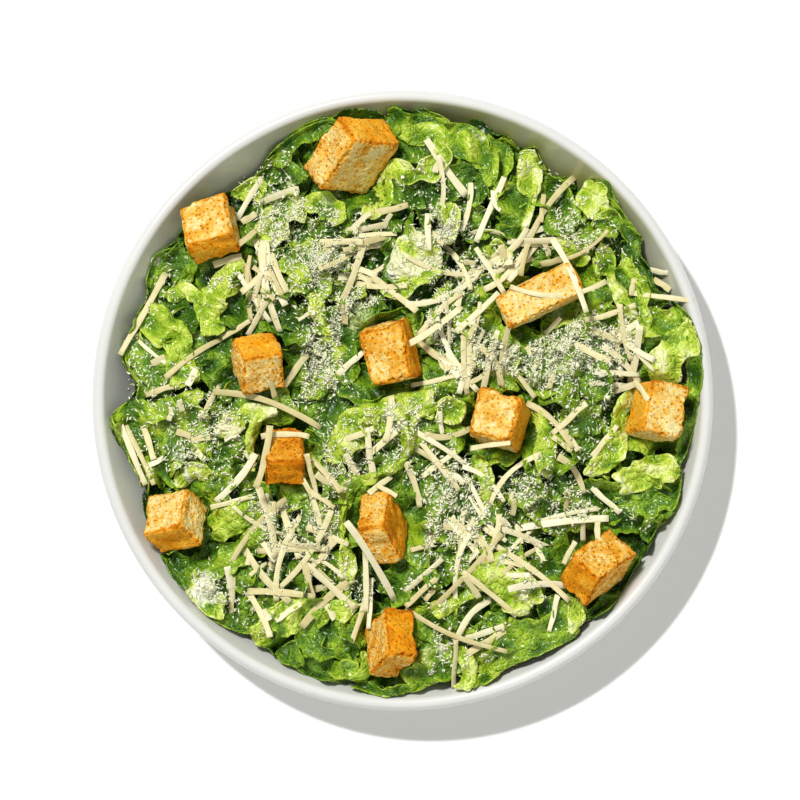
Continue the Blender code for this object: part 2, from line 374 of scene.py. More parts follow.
bowl = from_profile("salad_bowl", bowl_profile, BOWL_SIDES, white_glaze, wall_painted_shade_reflection)
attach(bowl, "root")
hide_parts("bowl")

# %% [markdown]
# ## Height maps
#
# Leaves lie on each other, so each new one has to know what is already under it. The helper is a height
# map: a square grid over the bowl that holds the highest point in each cell. A leaf reads it to find its
# support, is laid a little above it, and then writes its own height back. That is quick and steady, where a
# cloth simulation of a hundred leaves would take far too long.

# %% Height map helpers
CELL = 0.7  # size of a cell in mm
REACH = 112.0  # the map goes this far from the axis to each side
SIDE = int(2 * REACH / CELL) + 1
axis = np.linspace(-REACH, REACH, SIDE)
map_x, map_y = np.meshgrid(axis, axis, indexing="ij")
map_radius = np.hypot(map_x, map_y)


def write_heights(field, points, rule=np.maximum):
    """Puts points (..., 3) into the map, keeping the highest, or the lowest with np.minimum."""
    flat = points.reshape(-1, 3)
    cells = np.clip(np.rint((flat[:, :2] + REACH) / CELL).astype(int), 0, SIDE - 1)
    rule.at(field, (cells[:, 0], cells[:, 1]), flat[:, 2])


def read_heights(field, x, y):
    """Height of the map at any place, blended between its four nearest cells."""
    column = np.clip((x + REACH) / CELL, 0, SIDE - 1.001)
    row = np.clip((y + REACH) / CELL, 0, SIDE - 1.001)
    i, j = column.astype(int), row.astype(int)
    p, q = column - i, row - j
    low = field[i, j] * (1 - p) + field[i + 1, j] * p
    high = field[i, j + 1] * (1 - p) + field[i + 1, j + 1] * p
    return low * (1 - q) + high * q


def soften(field, spread):
    """The map blurred by a bell curve of that spread in mm: its frequencies are damped by a bell curve."""
    rate = np.fft.fftfreq(SIDE, CELL)
    damping = np.exp(-2 * (np.pi * spread * rate) ** 2)
    return np.fft.ifft2(np.fft.fft2(field) * damping[:, None] * damping[None, :]).real


# %% Heights of the plain heap
def node_points(node, per_side):
    """Points over a CAD node's triangles: each one's corners mixed by the shares of a triangular grid."""
    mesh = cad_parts[node].data
    mesh.calc_loop_triangles()
    places = np.empty(len(mesh.vertices) * 3, np.float32)
    mesh.vertices.foreach_get("co", places)
    picks = np.empty(len(mesh.loop_triangles) * 3, np.int32)
    mesh.loop_triangles.foreach_get("vertices", picks)
    corners = places.reshape(-1, 3)[picks].reshape(-1, 3, 3) / MM
    first, second = np.meshgrid(np.linspace(0, 1, per_side), np.linspace(0, 1, per_side))
    inside = first + second <= 1.0001
    shares = np.stack([1 - first - second, first, second], -1)[inside]
    return np.einsum("sk,tkc->tsc", shares, corners).reshape(-1, 3)


heap_top = np.full((SIDE, SIDE), -1.0)
write_heights(heap_top, node_points("salad", 26))
bowl_top = np.where(map_radius < RIM_RADIUS, inner_height(map_radius), BOWL_HEIGHT)
heap_top = np.maximum(heap_top, bowl_top)
soft_heap = soften(heap_top, 5.0)
print(f"heap from {heap_top[map_radius < 90].min():.1f} to {heap_top.max():.1f} mm, in {SIDE} x {SIDE} cells")

# %% [markdown]
# ## Croutons
#
# A crouton is a cube of bread, cut and then toasted in oil. Some sides are smooth brown crust and the
# others are torn crumb, cream coloured with toasted corners and small holes. Each one starts from its plain
# solid: the six planes of its sides are read from the frame, and a ball of points is pushed out until it
# meets them. A high power mean of the planes, instead of the nearest one, rounds the worn edges. Holes and
# grain are then pressed in.

# %% Planes and grid of a crouton
CROUTON_STEPS = 44  # squares along each edge of the cube
EVEN_ANGLE = 0.72  # the squares are spread by the tangent of up to this angle, so that they come out alike
EDGE_POWER = 15  # the higher, the sharper its edges
PIT_DEPTH = 0.7  # in shares of a pit's radius


def side_planes(node):
    """Centre, outward directions and distances of the six largest flat sides of a crouton's solid."""
    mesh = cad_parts[node].data
    mesh.calc_loop_triangles()
    places = np.array([vertex.co for vertex in mesh.vertices]) / MM
    triangles = places[np.array([triangle.vertices[:] for triangle in mesh.loop_triangles])]
    normals = np.cross(triangles[:, 1] - triangles[:, 0], triangles[:, 2] - triangles[:, 0])
    areas = np.linalg.norm(normals, axis=1)
    normals /= areas[:, None]
    centre = (places.min(0) + places.max(0)) / 2
    directions, distances = [], []
    for pick in np.argsort(-areas):
        if len(directions) == 6:
            break
        if all(normals[pick] @ other < 0.8 for other in directions):
            near = normals @ normals[pick] > 0.98
            mean = (normals[near] * areas[near, None]).sum(0)
            mean /= np.linalg.norm(mean)
            directions.append(mean)
            distances.append((triangles[near].reshape(-1, 3) @ mean).mean() - centre @ mean)
    return centre, np.array(directions), np.array(distances)


def cube_grid(steps):
    """Points on the surface of a cube from -1 to 1, with shared edges merged, and its quads."""
    line = np.arange(steps + 1)
    a, b = np.meshgrid(line, line, indexing="ij")
    low, high = np.zeros_like(a), np.full_like(a, steps)
    sides = [(a, b, high), (b, a, low), (high, a, b), (low, b, a), (b, high, a), (a, low, b)]
    places = np.concatenate([np.stack(side, -1).reshape(-1, 3) for side in sides])
    quads = np.concatenate([grid_faces(steps + 1, steps + 1) + k * (steps + 1) ** 2 for k in range(6)])
    merged, back = np.unique(places, axis=0, return_inverse=True)
    return merged / steps * 2 - 1, back.ravel()[quads]


# %% Pits and shape of a crouton
def pressed_pits(points, count, sizes, depth, dice):
    """Depth of small round holes at random points of the surface, as a sum of bell curves."""
    middles = points[dice.integers(0, len(points), count)]
    radius = dice.uniform(*sizes, count)
    gap = np.linalg.norm(points[:, None] - middles, axis=-1) / radius
    return (depth * radius * np.exp(-(gap**2))).max(1)


def crouton_shape(node, crust_side, browning, dice):
    """Points, quads and attributes of one crouton. A ray from the middle ends at one over the power mean of
    its length along each plane's direction, divided by that plane's distance. Waves, worn edges and pits
    then press it inward. crust_side is where its crust faces, and browning says how much browner than usual
    its crumb is."""
    centre, directions, distances = side_planes(node)
    cube, quads = cube_grid(CROUTON_STEPS)
    # Rays from the middle through a box about as long, wide and high as the crouton.
    first = directions[0]
    second = min(directions, key=lambda other: abs(other @ first))
    third = np.cross(first, second)
    reach = [max(distances[np.argmax(directions @ way)], 1) for way in (first, second, third)]
    bent = np.tan(cube * EVEN_ANGLE) / math.tan(EVEN_ANGLE)
    rays = bent @ np.array([first * reach[0], second * reach[1], third * reach[2]])
    rays /= np.linalg.norm(rays, axis=1)[:, None]
    # Where they end.
    push = np.clip(rays @ directions.T / distances, 0, None)
    radius = 1 / (push**EDGE_POWER).sum(1) ** (1 / EDGE_POWER)
    points = rays * radius[:, None]
    # How much each point belongs to a crust side, and how near it is to an edge.
    share = push**EDGE_POWER / (push**EDGE_POWER).sum(1)[:, None]
    facing = directions @ (crust_side / np.linalg.norm(crust_side))
    crust = (share * smoothstep(0.55, 0.75, facing)).sum(1)
    edge = 1 - smoothstep(0.6, 0.997, share.max(1))
    crumb = 1 - crust
    # How far the points are pressed in: broad waves, grain, worn edges and pits.
    ragged = 0.35 + 0.65 * np.maximum(crumb, edge)
    inward = 0.34 * (1 + ripples(points, 9, dice)) + ragged * 0.07 * (1 + ripples(points, 3.0, dice, 16))
    inward += ragged * 0.06 * (1 + ripples(points, 1.5, dice, 24))
    inward += edge * 0.95 * np.clip(ripples(points, 2.8, dice, 14), 0, 1.2)
    pits = pressed_pits(points, 160, (0.35, 0.8), PIT_DEPTH, dice) * (0.15 + 0.85 * crumb)
    inward += pits
    toast = 0.37 + browning + 0.10 * ripples(points, 8, dice) + 0.05 * ripples(points, 3, dice) + 0.42 * edge
    points = centre + points - rays * np.clip(inward, 0, 2.2)[:, None]
    return points, quads, {"crust": crust, "toast": toast, "pit": np.clip(pits / PIT_DEPTH, 0, 1)}


# %% [markdown]
# ### Toasted bread
#
# The crust is a warm golden brown with darker freckles, and the crumb is cream that turns golden where it
# stood up in the pan. Thin pale strands break it up, and its pores and pits are painted darker, as painted
# shade in the hollows. Bread colours easily come out too red, so the browns here keep a quarter to a half
# as much green as red, and almost no blue.

# %% Bread material
bread = Finish("toasted_bread")


def threads_of(pitch_mm, width):
    """Thin wavy lines, where a noise crosses its middle value: 1 on a line and 0 beside it."""
    inputs = {"Vector": bread.where(), "Scale": 1 / (pitch_mm * MM), "Detail": 1.5, "Distortion": 0.6}
    wave = bread.math("SUBTRACT", bread.add("ShaderNodeTexNoise", inputs), 0.5)
    inputs = {"Value": bread.math("ABSOLUTE", wave), "From Max": width, "To Min": 1.0, "To Max": 0.0}
    return bread.add("ShaderNodeMapRange", inputs, interpolation_type="SMOOTHSTEP")


freckle = bread.noise(1.6, detail=4, roughness=0.65)
strand = bread.math("MAXIMUM", threads_of(2.2, 0.035), threads_of(1.4, 0.035))
sponge = bread.add("ShaderNodeTexVoronoi", {"Vector": bread.where(), "Scale": 1 / (1.5 * MM)})
pore = bread.add(
    "ShaderNodeMapRange",
    {"Value": sponge, "From Min": 0.12, "From Max": 0.45, "To Min": 1.0, "To Max": 0.0},
    interpolation_type="SMOOTHSTEP",
)
toast_and_pore_shade = bread.math("MULTIPLY_ADD", freckle, 0.55, bread.math("SUBTRACT", bread.attribute("toast"), 0.275))
# The pores are painted browner: painted shade in their hollows.
toast_and_pore_shade = bread.math("MULTIPLY_ADD", pore, 0.48, bread.math("SUBTRACT", toast_and_pore_shade, 0.10))
toast_and_pore_shade = bread.math("MULTIPLY_ADD", strand, -0.38, bread.math("ADD", toast_and_pore_shade, 0.10))
crumb_colour = bread.ramp(
    toast_and_pore_shade,
    [
        (0.05, (0.93, 0.78, 0.38)),
        (0.26, (0.90, 0.62, 0.16)),
        (0.45, (0.86, 0.43, 0.040)),
        (0.75, (0.70, 0.25, 0.005)),
        (1.00, (0.42, 0.11, 0.002)),
    ],
)
crust_colour = bread.ramp(
    toast_and_pore_shade, [(0.1, (0.94, 0.50, 0.045)), (0.4, (0.88, 0.33, 0.005)), (0.9, (0.58, 0.16, 0.002))]
)
bread_colour = bread.mix(bread.attribute("crust"), crumb_colour, crust_colour)
# Pits pressed into the mesh are painted darker: painted shade in the holes.
pit_shade = bread.math("MULTIPLY", bread.attribute("pit"), 0.5)
toasted_bread = bread.done(
    base_color=bread.mix(pit_shade, bread_colour, (0.66, 0.25, 0.012)),
    roughness=0.75,
    specular_ior_level=0.08,
    normal=bread.bump(bread.math("SUBTRACT", strand, pore), 0.35, 0.7, bread.bump(freckle, 0.5, 0.65)),
)

# %% The twelve croutons
CROUTON_LOOKS = {  # the direction that its crust faces, and how much browner than usual its crumb is
    "crouton_01": (0.6, 0.7, 0.3, -0.07),
    "crouton_02": (0.5, -0.8, 0.1, 0.0),
    "crouton_03": (0.2, 0.9, 0.2, 0.0),
    "crouton_04": (0.9, 0.0, 0.3, 0.1),
    "crouton_05": (0.1, -0.9, 0.4, 0.32),
    "crouton_06": (0.2, -0.9, 0.3, -0.07),
    "crouton_07": (0.7, 0.5, 0.4, 0.12),
    "crouton_08": (0.9, -0.2, 0.2, -0.02),
    "crouton_09": (0.9, 0.2, 0.3, -0.12),
    "crouton_10": (-0.8, -0.3, 0.3, -0.12),
    "crouton_11": (-0.5, -0.6, 0.2, 0.12),
    "crouton_12": (0.8, 0.1, 0.5, 0.15),
}
FAR_ABOVE = 500.0  # where a map of lowest points has nothing
crouton_low = np.full((SIDE, SIDE), FAR_ABOVE)
crouton_high = np.full((SIDE, SIDE), -1.0)
for number, node in enumerate(CROUTONS, 1):
    crust_side, browning = np.array(CROUTON_LOOKS[node][:3]), CROUTON_LOOKS[node][3]
    cube_points, cube_quads, cube_values = crouton_shape(node, crust_side, browning, dice_for(3, number))
    cube = new_object("toasted_" + node, cube_points, cube_quads, toasted_bread, cube_values)
    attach(cube, "root")
    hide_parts(node)
    write_heights(crouton_low, cube_points, np.minimum)
    write_heights(crouton_high, cube_points)

# %% [markdown]
# ## The heart of the heap
#
# Nobody sees the middle of a salad, only dark gaps between the top leaves. A solid core fills the bowl up
# to a little below the top of the heap, lumpy like packed leaves, and the real leaves are laid over it. Its
# dark green is partly that of packed outer leaves and partly painted shade for the deep gaps.

# %% Core of the heap
CORE_DEPTH = 15.0  # how far it stays under the top of the heap
CORE_INSET = 9.0  # how far it stays inside the heap's outline
CORE_SIDES = 220
CORE_RINGS = 90

core_bearing = np.linspace(0, 2 * np.pi, CORE_SIDES, endpoint=False)
core_edge = edge_radius(core_bearing) - CORE_INSET
core_share = np.linspace(0, 1, CORE_RINGS + 1)[1:, None]
core_x = core_share * core_edge * np.cos(core_bearing)
core_y = core_share * core_edge * np.sin(core_bearing)
core_spots = np.stack([core_x, core_y], -1)
core_z = read_heights(soft_heap, core_x, core_y) - CORE_DEPTH
core_z += 1.2 * ripples(core_spots, 14, dice_for(5)) + 0.7 * ripples(core_spots, 5, dice_for(6))
core_z = np.maximum(core_z, inner_height(np.hypot(core_x, core_y)) + 0.4)
core_under = np.linspace(1, 0, 12)[1:, None]
low_x = core_under * core_edge * np.cos(core_bearing)
low_y = core_under * core_edge * np.sin(core_bearing)
low_z = np.minimum(inner_height(np.hypot(low_x, low_y)) + 0.6, core_z[-1] - 0.2)
rings = np.concatenate([np.stack([core_x, core_y, core_z], -1), np.stack([low_x, low_y, low_z], -1)[:-1]])

# %% Faces and finish of the core
core_middle = np.array([[0, 0, core_z[0].mean()], [0, 0, FLOOR_HEIGHT + 0.6]])
core_points = np.concatenate([rings.reshape(-1, 3), core_middle])
core_index = np.arange(rings.shape[0] * CORE_SIDES).reshape(rings.shape[0], CORE_SIDES)
core_after = np.roll(core_index, -1, axis=1)
core_faces = np.concatenate(
    [
        np.stack([core_index[:-1], core_index[1:], core_after[1:]], -1).reshape(-1, 3),
        np.stack([core_index[:-1], core_after[1:], core_after[:-1]], -1).reshape(-1, 3),
        np.stack([np.full(CORE_SIDES, rings.size // 3), core_index[0], core_after[0]], -1),
        np.stack([np.full(CORE_SIDES, rings.size // 3 + 1), core_after[-1], core_index[-1]], -1),
    ]
)
# The core's dark green is partly packed outer leaves and partly painted shade in the deep gaps.
shade = Finish("packed_leaves")
core_leaf_and_shade = shade.done(
    base_color=shade.ramp(shade.noise(6), [(0.35, (0.012, 0.035, 0.006)), (0.7, (0.05, 0.11, 0.015))]),
    roughness=0.5,
    normal=shade.bump(shade.noise(3), 1.0),
)
core = new_object("packed_leaves", core_points, core_faces, core_leaf_and_shade)
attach(core, "root")
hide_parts("salad")
support = bowl_top.copy()
write_heights(support, rings)
support = np.maximum(support, np.where(map_radius < 100, soften(support, 1.0), 0))

# %% [markdown]
# ## How cheese lies on the salad
#
# Grated cheese was strewn by hand, so it lies in drifts. Each drift is a place, a width and a strength, and
# their sum says how much cheese there is anywhere. The leaves take a white dust from it, and the flakes are
# strewn by it.

# %% Drifts of grated cheese
Drift = namedtuple("Drift", "east north width strength")
DRIFTS = (
    Drift(-31, 49, 7, 0.8),
    Drift(-24, 50, 5, 0.8),
    Drift(-16, 30, 8, 1.04),
    Drift(10, 23, 7, 0.75),
    Drift(15, 61, 6, 0.56),
    Drift(20, 44, 7, 0.5),
    Drift(-31, 11, 8, 0.8),
    Drift(52, 16, 11, 0.78),
    Drift(58, 30, 8, 0.75),
    Drift(33, 12, 8, 0.55),
    Drift(33, -17, 4, 0.4),
    Drift(73, 19, 8, 0.64),
    Drift(17, -30, 10, 0.45),
    Drift(24, -44, 9, 0.45),
    Drift(9, -47, 5, 0.56),
    Drift(-15, -23, 6, 0.35),
    Drift(-30, -23, 8, 0.56),
    Drift(56, 63, 7, 0.5),
    Drift(65, 56, 5, 0.4),
    Drift(-68, -7, 8, 0.4),
    Drift(-74, -18, 6, 0.36),
    Drift(31, 19, 7, 0.64),
    Drift(-29, -46, 8, 0.56),
    Drift(-47, -44, 10, 0.56),
    Drift(10, -89, 4, 0.72),
    Drift(-39, 77, 4, 0.48),
    Drift(-65, 45, 5, 0.4),
    Drift(61, -39, 8, 0.4),
    Drift(-70, -69, 5, 0.8),
    Drift(-1, -5, 7, 0.5),
    Drift(-42, 66, 7, 0.56),
    Drift(77, 0, 7, 0.4),
    Drift(-13, -71, 8, 0.4),
    Drift(42, -67, 6, 0.4),
    Drift(19, 60, 4, 0.4),
    Drift(-26, 70, 6, 0.7),
    Drift(-57, 6, 6, 0.5),
    Drift(-45, 58, 5, 0.6),
    Drift(-32, 19, 6, 0.6),
    Drift(44, -32, 6, 0.6),
    Drift(6, -94, 5, 0.6),
    Drift(42, 45, 6, 0.6),
    Drift(-6, 70, 5, -0.4),
    Drift(70, -32, 5, -0.4),
    Drift(-57, -57, 6, -0.4),
    Drift(44, 66, 9, -0.9),
    Drift(29, 90, 10, -0.5),
    Drift(14, 94, 9, -0.4),
    Drift(93, 18, 8, -0.8),
    Drift(87, -24, 9, -0.8),
    Drift(52, -86, 12, -0.6),
    Drift(36, -66, 8, -0.4),
    Drift(-28, -86, 13, -0.7),
    Drift(-80, 22, 8, -0.4),
    Drift(-66, 32, 7, -0.5),
    Drift(-56, -46, 7, -0.5),
    Drift(77, 40, 8, -0.4),
    Drift(-20, 85, 9, -0.5),
)


def piled(drifts, x, y):
    """Sum of the drifts' bell curves."""
    cover = 0.0 * x
    for drift in drifts:
        gap = ((x - drift.east) ** 2 + (y - drift.north) ** 2) / drift.width**2
        cover = cover + drift.strength * np.exp(-gap)
    return cover


def cheese_at(x, y):
    """How thick the cheese lies, from 0 to about 1.5: its drifts and a thin scatter."""
    return np.clip(0.15 + piled(DRIFTS, x, y), 0, None)


# %% Patches of dressing, which clings to the leaves
DRESSING = (
    Drift(-88, 50, 5, 0.55),
    Drift(-89, 20, 4, 0.5),
    Drift(-79, -20, 6, 0.55),
    Drift(-76, -28, 4, 0.5),
    Drift(-70, -67, 7, 0.9),
    Drift(15, -87, 6, 0.6),
    Drift(36, -56, 5, 0.55),
    Drift(-70, 34, 4, 0.45),
    Drift(-4, 44, 5, 0.5),
    Drift(28, 94, 5, 0.45),
    Drift(62, -30, 6, 0.45),
    Drift(-18, -60, 5, 0.45),
)
print(f"{len(DRIFTS)} drifts of cheese and {len(DRESSING)} patches of dressing")

# %% [markdown]
# ## A leaf
#
# Chopped romaine is a thin sheet with a pale rib, side veins that slant towards the tip, and blisters
# between them. Along the outer margin the sheet has grown longer than the leaf is, so it frills. One leaf
# here is a grid: rows go along the rib and columns across it. Going out from the rib, the sheet is walked
# in small steps of its own length, each at its own slope. The slope is a fold, a curl and a frill added up,
# so the sheet bends but doesn't stretch.

# %% Measures of a leaf
# A leaf has the path of its rib, its widths to both sides, how pale it is, the slopes of its sides in
# radians, how much it frills, and the half width of its rib.
Leaf = namedtuple("Leaf", "path left right tone left_rise right_rise frill rib")
LEAF_THICKNESS = 0.35
BLISTER_PITCH = 3.9
VEIN_PITCH = 8.0
FRILL_WAVE = 11.0
CRUMPLE = 0.30  # usual slope of the small folds, in radians
SMALL_BLISTER = 2.2  # pitch of the finest network of veins


# %% Smooth paths and blisters
def curve_through(path, count):
    """Evenly spaced points on a smooth curve through the given ones, and its length. Each stretch is a
    cubic, and its slope at a point is half the way from the point before to the point after."""
    knots = np.array(path, float)
    knots = np.concatenate([[2 * knots[0] - knots[1]], knots, [2 * knots[-1] - knots[-2]]])
    share = np.linspace(0, 1, 20, endpoint=False)[:, None]
    before, start, end, after = (knots[k : len(knots) - 3 + k, None] for k in range(4))
    bend = 2 * before - 5 * start + 4 * end - after
    twist = 3 * start - before - 3 * end + after
    curve = start + share * (end - before) / 2 + share**2 * bend / 2 + share**3 * twist / 2
    curve = np.concatenate([curve.reshape(-1, 2), knots[-2:-1]])
    walked = np.append(0, np.cumsum(np.linalg.norm(np.diff(curve, axis=0), axis=1)))
    even = np.linspace(0, walked[-1], count)
    return np.column_stack([np.interp(even, walked, curve[:, k]) for k in range(2)]), walked[-1]


def blisters(along, across, pitch, dice):
    """1 in the middle of a blister and 0 in the creases: the gap between the nearest and second nearest of
    the scattered blister middles, which is nothing where two blisters meet."""
    columns = np.arange(along.min() - pitch, along.max() + pitch, pitch)
    rows = np.arange(across.min() - pitch, across.max() + pitch, pitch * 0.8)
    middles = np.stack(np.meshgrid(columns, rows, indexing="ij"), -1).reshape(-1, 2)
    middles += dice.uniform(-0.42, 0.42, middles.shape) * pitch
    spots = np.stack([along, across], -1).reshape(-1, 2)
    gaps = np.sqrt(((spots[:, None] - middles) ** 2 * [1, 1.35]).sum(-1))
    nearest = np.partition(gaps, 1, axis=1)[:, :2]
    return smoothstep(-0.15 * pitch, 0.75 * pitch, nearest[:, 1] - nearest[:, 0]).reshape(along.shape)


def averaged(grid, times):
    """A grid whose every value is mixed with its neighbours, several times over."""
    for _ in range(times):
        wide = np.pad(grid, 1, mode="edge")
        grid = (wide[:-2, 1:-1] + wide[2:, 1:-1] + wide[1:-1, :-2] + wide[1:-1, 2:] + 2 * wide[1:-1, 1:-1]) / 6
    return grid


# %% The sheet of a leaf
def leaf_sheet(leaf, spacing, dice):
    """Grid of points of one leaf in mm, and its tone, veins and own places. From the rib outwards, each
    step of the sheet goes cos(slope) sideways and sin(slope) up, so its length stays. Domes and grooves are
    added to the height."""
    # Rows along the rib and columns across it, with shares u and v from -1 to 1.
    length = curve_through(leaf.path, 2)[1]
    rows = max(int(length / spacing), 14)
    line = curve_through(leaf.path, rows)[0]
    right_count, left_count = max(int(leaf.right / spacing), 4), max(int(leaf.left / spacing), 4)
    shares = np.concatenate([np.linspace(-1, 0, right_count + 1)[:-1], np.linspace(0, 1, left_count + 1)])
    u = np.linspace(-1, 1, rows)[:, None] + 0 * shares
    v = shares + 0 * u
    side = np.where(v < 0, -60.0, 60.0)
    along = u * length / 2
    spots = np.stack([along, side], -1)
    # Its outline: narrower ends, wandering sides, and slanting ragged cuts.
    ends = 0.3 + 0.7 * np.sqrt(np.clip(1 - np.abs(u) ** dice.uniform(3, 7), 0, 1))
    wander = 1 + 0.13 * ripples(spots, 15, dice) + 0.05 * ripples(spots, 4.5, dice)
    across = v * np.where(v < 0, leaf.right, leaf.left) * ends * wander * (1 + dice.uniform(-0.2, 0.2) * u)
    cut = dice.uniform(-0.35, 0.35) * across * u**2
    cut = cut + 0.06 * min(length, 30) * ripples(across[..., None] * [1, 0], 9, dice) * np.abs(u) ** 3
    along = along + cut
    # Its slope sideways: curl, frill and small folds.
    margin = np.abs(v) ** 2.4
    wave = 2 * np.pi * along / (FRILL_WAVE * dice.uniform(0.8, 1.25))
    phase = np.where(v < 0, dice.uniform(0, 6.28), dice.uniform(0, 6.28))
    wave = wave + phase + 0.9 * ripples(spots, 20, dice) + 1.6 * np.abs(v)
    spots = np.stack([along, across], -1)
    rise = np.where(v < 0, leaf.right_rise, leaf.left_rise)
    slope = dice.uniform(-0.1, 0.15) + rise * (0.3 + 0.7 * np.abs(v)) + 0.5 * np.abs(v) ** 4
    slope = slope + 0.8 * leaf.frill * (0.15 + margin) * np.sin(wave)
    slope = slope + CRUMPLE * (0.6 + 0.5 * leaf.frill) * ripples(spots, 12, dice)
    # The walk out from the rib, whose own column stays at 0.
    lean = (slope[:, 1:] + slope[:, :-1]) / 2
    step = np.diff(across, axis=1)
    outward = np.sign(v[:, 1:] + v[:, :-1])
    start = np.zeros((rows, 1))
    y = np.concatenate([start, np.cumsum(np.cos(lean) * step, axis=1)], axis=1)
    z = np.concatenate([start, np.cumsum(np.sin(lean) * step * outward, axis=1)], axis=1)
    y -= y[:, right_count, None]
    z -= z[:, right_count, None]
    # What stands out or is pressed in: blisters, side veins, the rib and broad waves.
    dome = blisters(along, across, BLISTER_PITCH * dice.uniform(0.8, 1.2), dice)
    side_vein = (along - np.abs(across) * 0.8 + 0.8 * ripples(spots, 14, dice)) / VEIN_PITCH
    vein_gap = np.abs(side_vein - np.rint(side_vein)) * VEIN_PITCH
    side_groove = np.exp(-((vein_gap / 0.7) ** 2)) * (1 - margin)
    rib = np.exp(-((across / np.maximum(leaf.rib * (0.75 - 0.45 * u), 0.3)) ** 4))
    plump = 0.45 + 0.9 * leaf.frill
    z += (1 - rib) * (plump * dome - 0.4 * side_groove) + 0.9 * rib * min(leaf.rib / 2, 1.2)
    z += 1.7 * (0.8 - np.abs(ripples(spots, 21, dice))) + 0.4 * ripples(spots, 9, dice)
    # All of it carried along the path.
    heading = np.gradient(line, axis=0)
    heading /= np.linalg.norm(heading, axis=1)[:, None]
    forward_x, forward_y = heading[:, 0, None], heading[:, 1, None]
    x_world = line[:, 0, None] - y * forward_y + cut * forward_x
    y_world = line[:, 1, None] + y * forward_x + cut * forward_y
    # Paler on a thick rib, and paler at the frilled margins and along every edge, partly the leaf's own
    # paler margin and partly painted light on the thin edge. Ridges are painted paler and hollows darker,
    # as painted light and shade.
    ridge_light_and_shade = np.clip((z - averaged(z, 40)) / 1.2, -1, 1)
    tone = leaf.tone + 0.12 * margin * leaf.frill + 0.16 * ridge_light_and_shade + 0.07 * ripples(spots, 12, dice)
    tone = tone + 0.09 * smoothstep(0.70, 0.97, np.maximum(np.abs(v), np.abs(u)))
    tone = np.minimum(tone, leaf.tone + 0.13)
    values = {
        "tone": tone + rib * smoothstep(0.5, 1.5, leaf.rib) * 0.4,
        "vein": np.clip(0.75 * (1 - dome) ** 2 + 0.6 * side_groove, 0, 1),
        "leaf_x": along + dice.uniform(0, 400),
        "leaf_y": across + dice.uniform(0, 400),
    }
    return np.stack([x_world, y_world, z], -1), values


# %% Thickness of a leaf
def shell(top, thickness):
    """Closes a sheet: a second one lies under it along its normals, and a strip joins the two at their
    borders."""
    normals = np.cross(np.gradient(top, axis=0), np.gradient(top, axis=1))
    normals /= np.maximum(np.linalg.norm(normals, axis=-1, keepdims=True), 1e-9)
    rows, columns = top.shape[:2]
    count = rows * columns
    index = np.arange(count).reshape(rows, columns)
    border = np.concatenate([index[0], index[1:, -1], index[-1, -2::-1], index[-2:0:-1, 0]])
    after = np.roll(border, -1)
    upper = grid_faces(rows, columns)
    strip = np.stack([border, after, after + count, border + count], -1)
    points = np.concatenate([top.reshape(-1, 3), (top - thickness * normals).reshape(-1, 3)])
    return points, np.concatenate([upper, upper[:, ::-1] + count, strip])


# %% [markdown]
# ## Laying the leaves
#
# A leaf is limp, so it takes on the broad form of what is under it and keeps its own folds. Its height is
# that of the softened map plus its own shape. Where it would still cut into something, it is lifted, and
# under a crouton it is pressed down. Then it is written into the map as support for the next leaf.

# %% Limits of the heap
EDGE_TURN = 5.0  # width of the border in mm where leaves turn up at the wall
RISE_PER_CELL = 1.1  # mm by which the limit on leaves rises with each cell away from a crouton
heap_edge = edge_radius(core_bearing) + 1.0
ceiling = np.where(crouton_low < FAR_ABOVE, crouton_low - 0.5, FAR_ABOVE)
for _ in range(6):
    padded = np.pad(ceiling, 1, constant_values=FAR_ABOVE)
    near = [padded[1 + i : 1 + i + SIDE, 1 + j : 1 + j + SIDE] for i in (-1, 0, 1) for j in (-1, 0, 1)]
    ceiling = np.minimum(ceiling, np.min(near, axis=0) + RISE_PER_CELL)


def kept_inside(x, y):
    """Places past the heap's edge drawn in towards it, more and more, as a leaf that meets the wall turns
    up."""
    radius, bearing = np.hypot(x, y), np.arctan2(y, x)
    bearings, edges = np.append(core_bearing, 2 * np.pi), np.append(heap_edge, heap_edge[0])
    limit = np.interp(bearing % (2 * np.pi), bearings, edges)
    start = limit - EDGE_TURN
    past = np.clip(radius - start, 0, None)
    drawn = np.minimum(radius, start) + EDGE_TURN * (1 - np.exp(-past / EDGE_TURN))
    return x * drawn / np.maximum(radius, 1), y * drawn / np.maximum(radius, 1)


# %% Laying one leaf
def lay(top, depth):
    """Moves a sheet (rows, columns, 3) onto the heap and writes it into the support map. Its height is 3
    parts of what is under it and 7 parts of the heap's top less depth, plus its own shape, lifted where it
    would cut in."""
    x, y = kept_inside(top[..., 0], top[..., 1])
    broad = read_heights(soften(support, 4.5), x, y) + 0.8
    goal = read_heights(soft_heap, x, y) - depth
    rest = 0.3 * broad + 0.7 * goal + top[..., 2] - np.median(top[..., 2])
    lift = np.clip(read_heights(support, x, y) + 0.5 - rest, 0, 2.6)
    z = rest + averaged(lift, 4)
    z = np.minimum(z, read_heights(ceiling, x, y))
    z = np.maximum(z, read_heights(bowl_top, x, y) + 0.6)
    laid = np.stack([x, y, z], -1)
    write_heights(support, laid)
    write_heights(support, (laid[1:] + laid[:-1]) / 2)
    write_heights(support, (laid[:, 1:] + laid[:, :-1]) / 2)
    return laid


def leaf_part(leaf, depth, spacing, dice):
    """One finished leaf: its sheet laid on the heap and closed, with the values that its material reads."""
    sheet, values = leaf_sheet(leaf, spacing, dice)
    laid = lay(sheet, depth)
    points, faces = shell(laid, LEAF_THICKNESS)
    values["cream"] = cheese_at(laid[..., 0], laid[..., 1]) + 0.25 * ripples(laid[..., :2], 7, dice)
    values["dressing"] = piled(DRESSING, laid[..., 0], laid[..., 1])
    return points, faces, {key: np.tile(value.ravel(), 2) for key, value in values.items()}
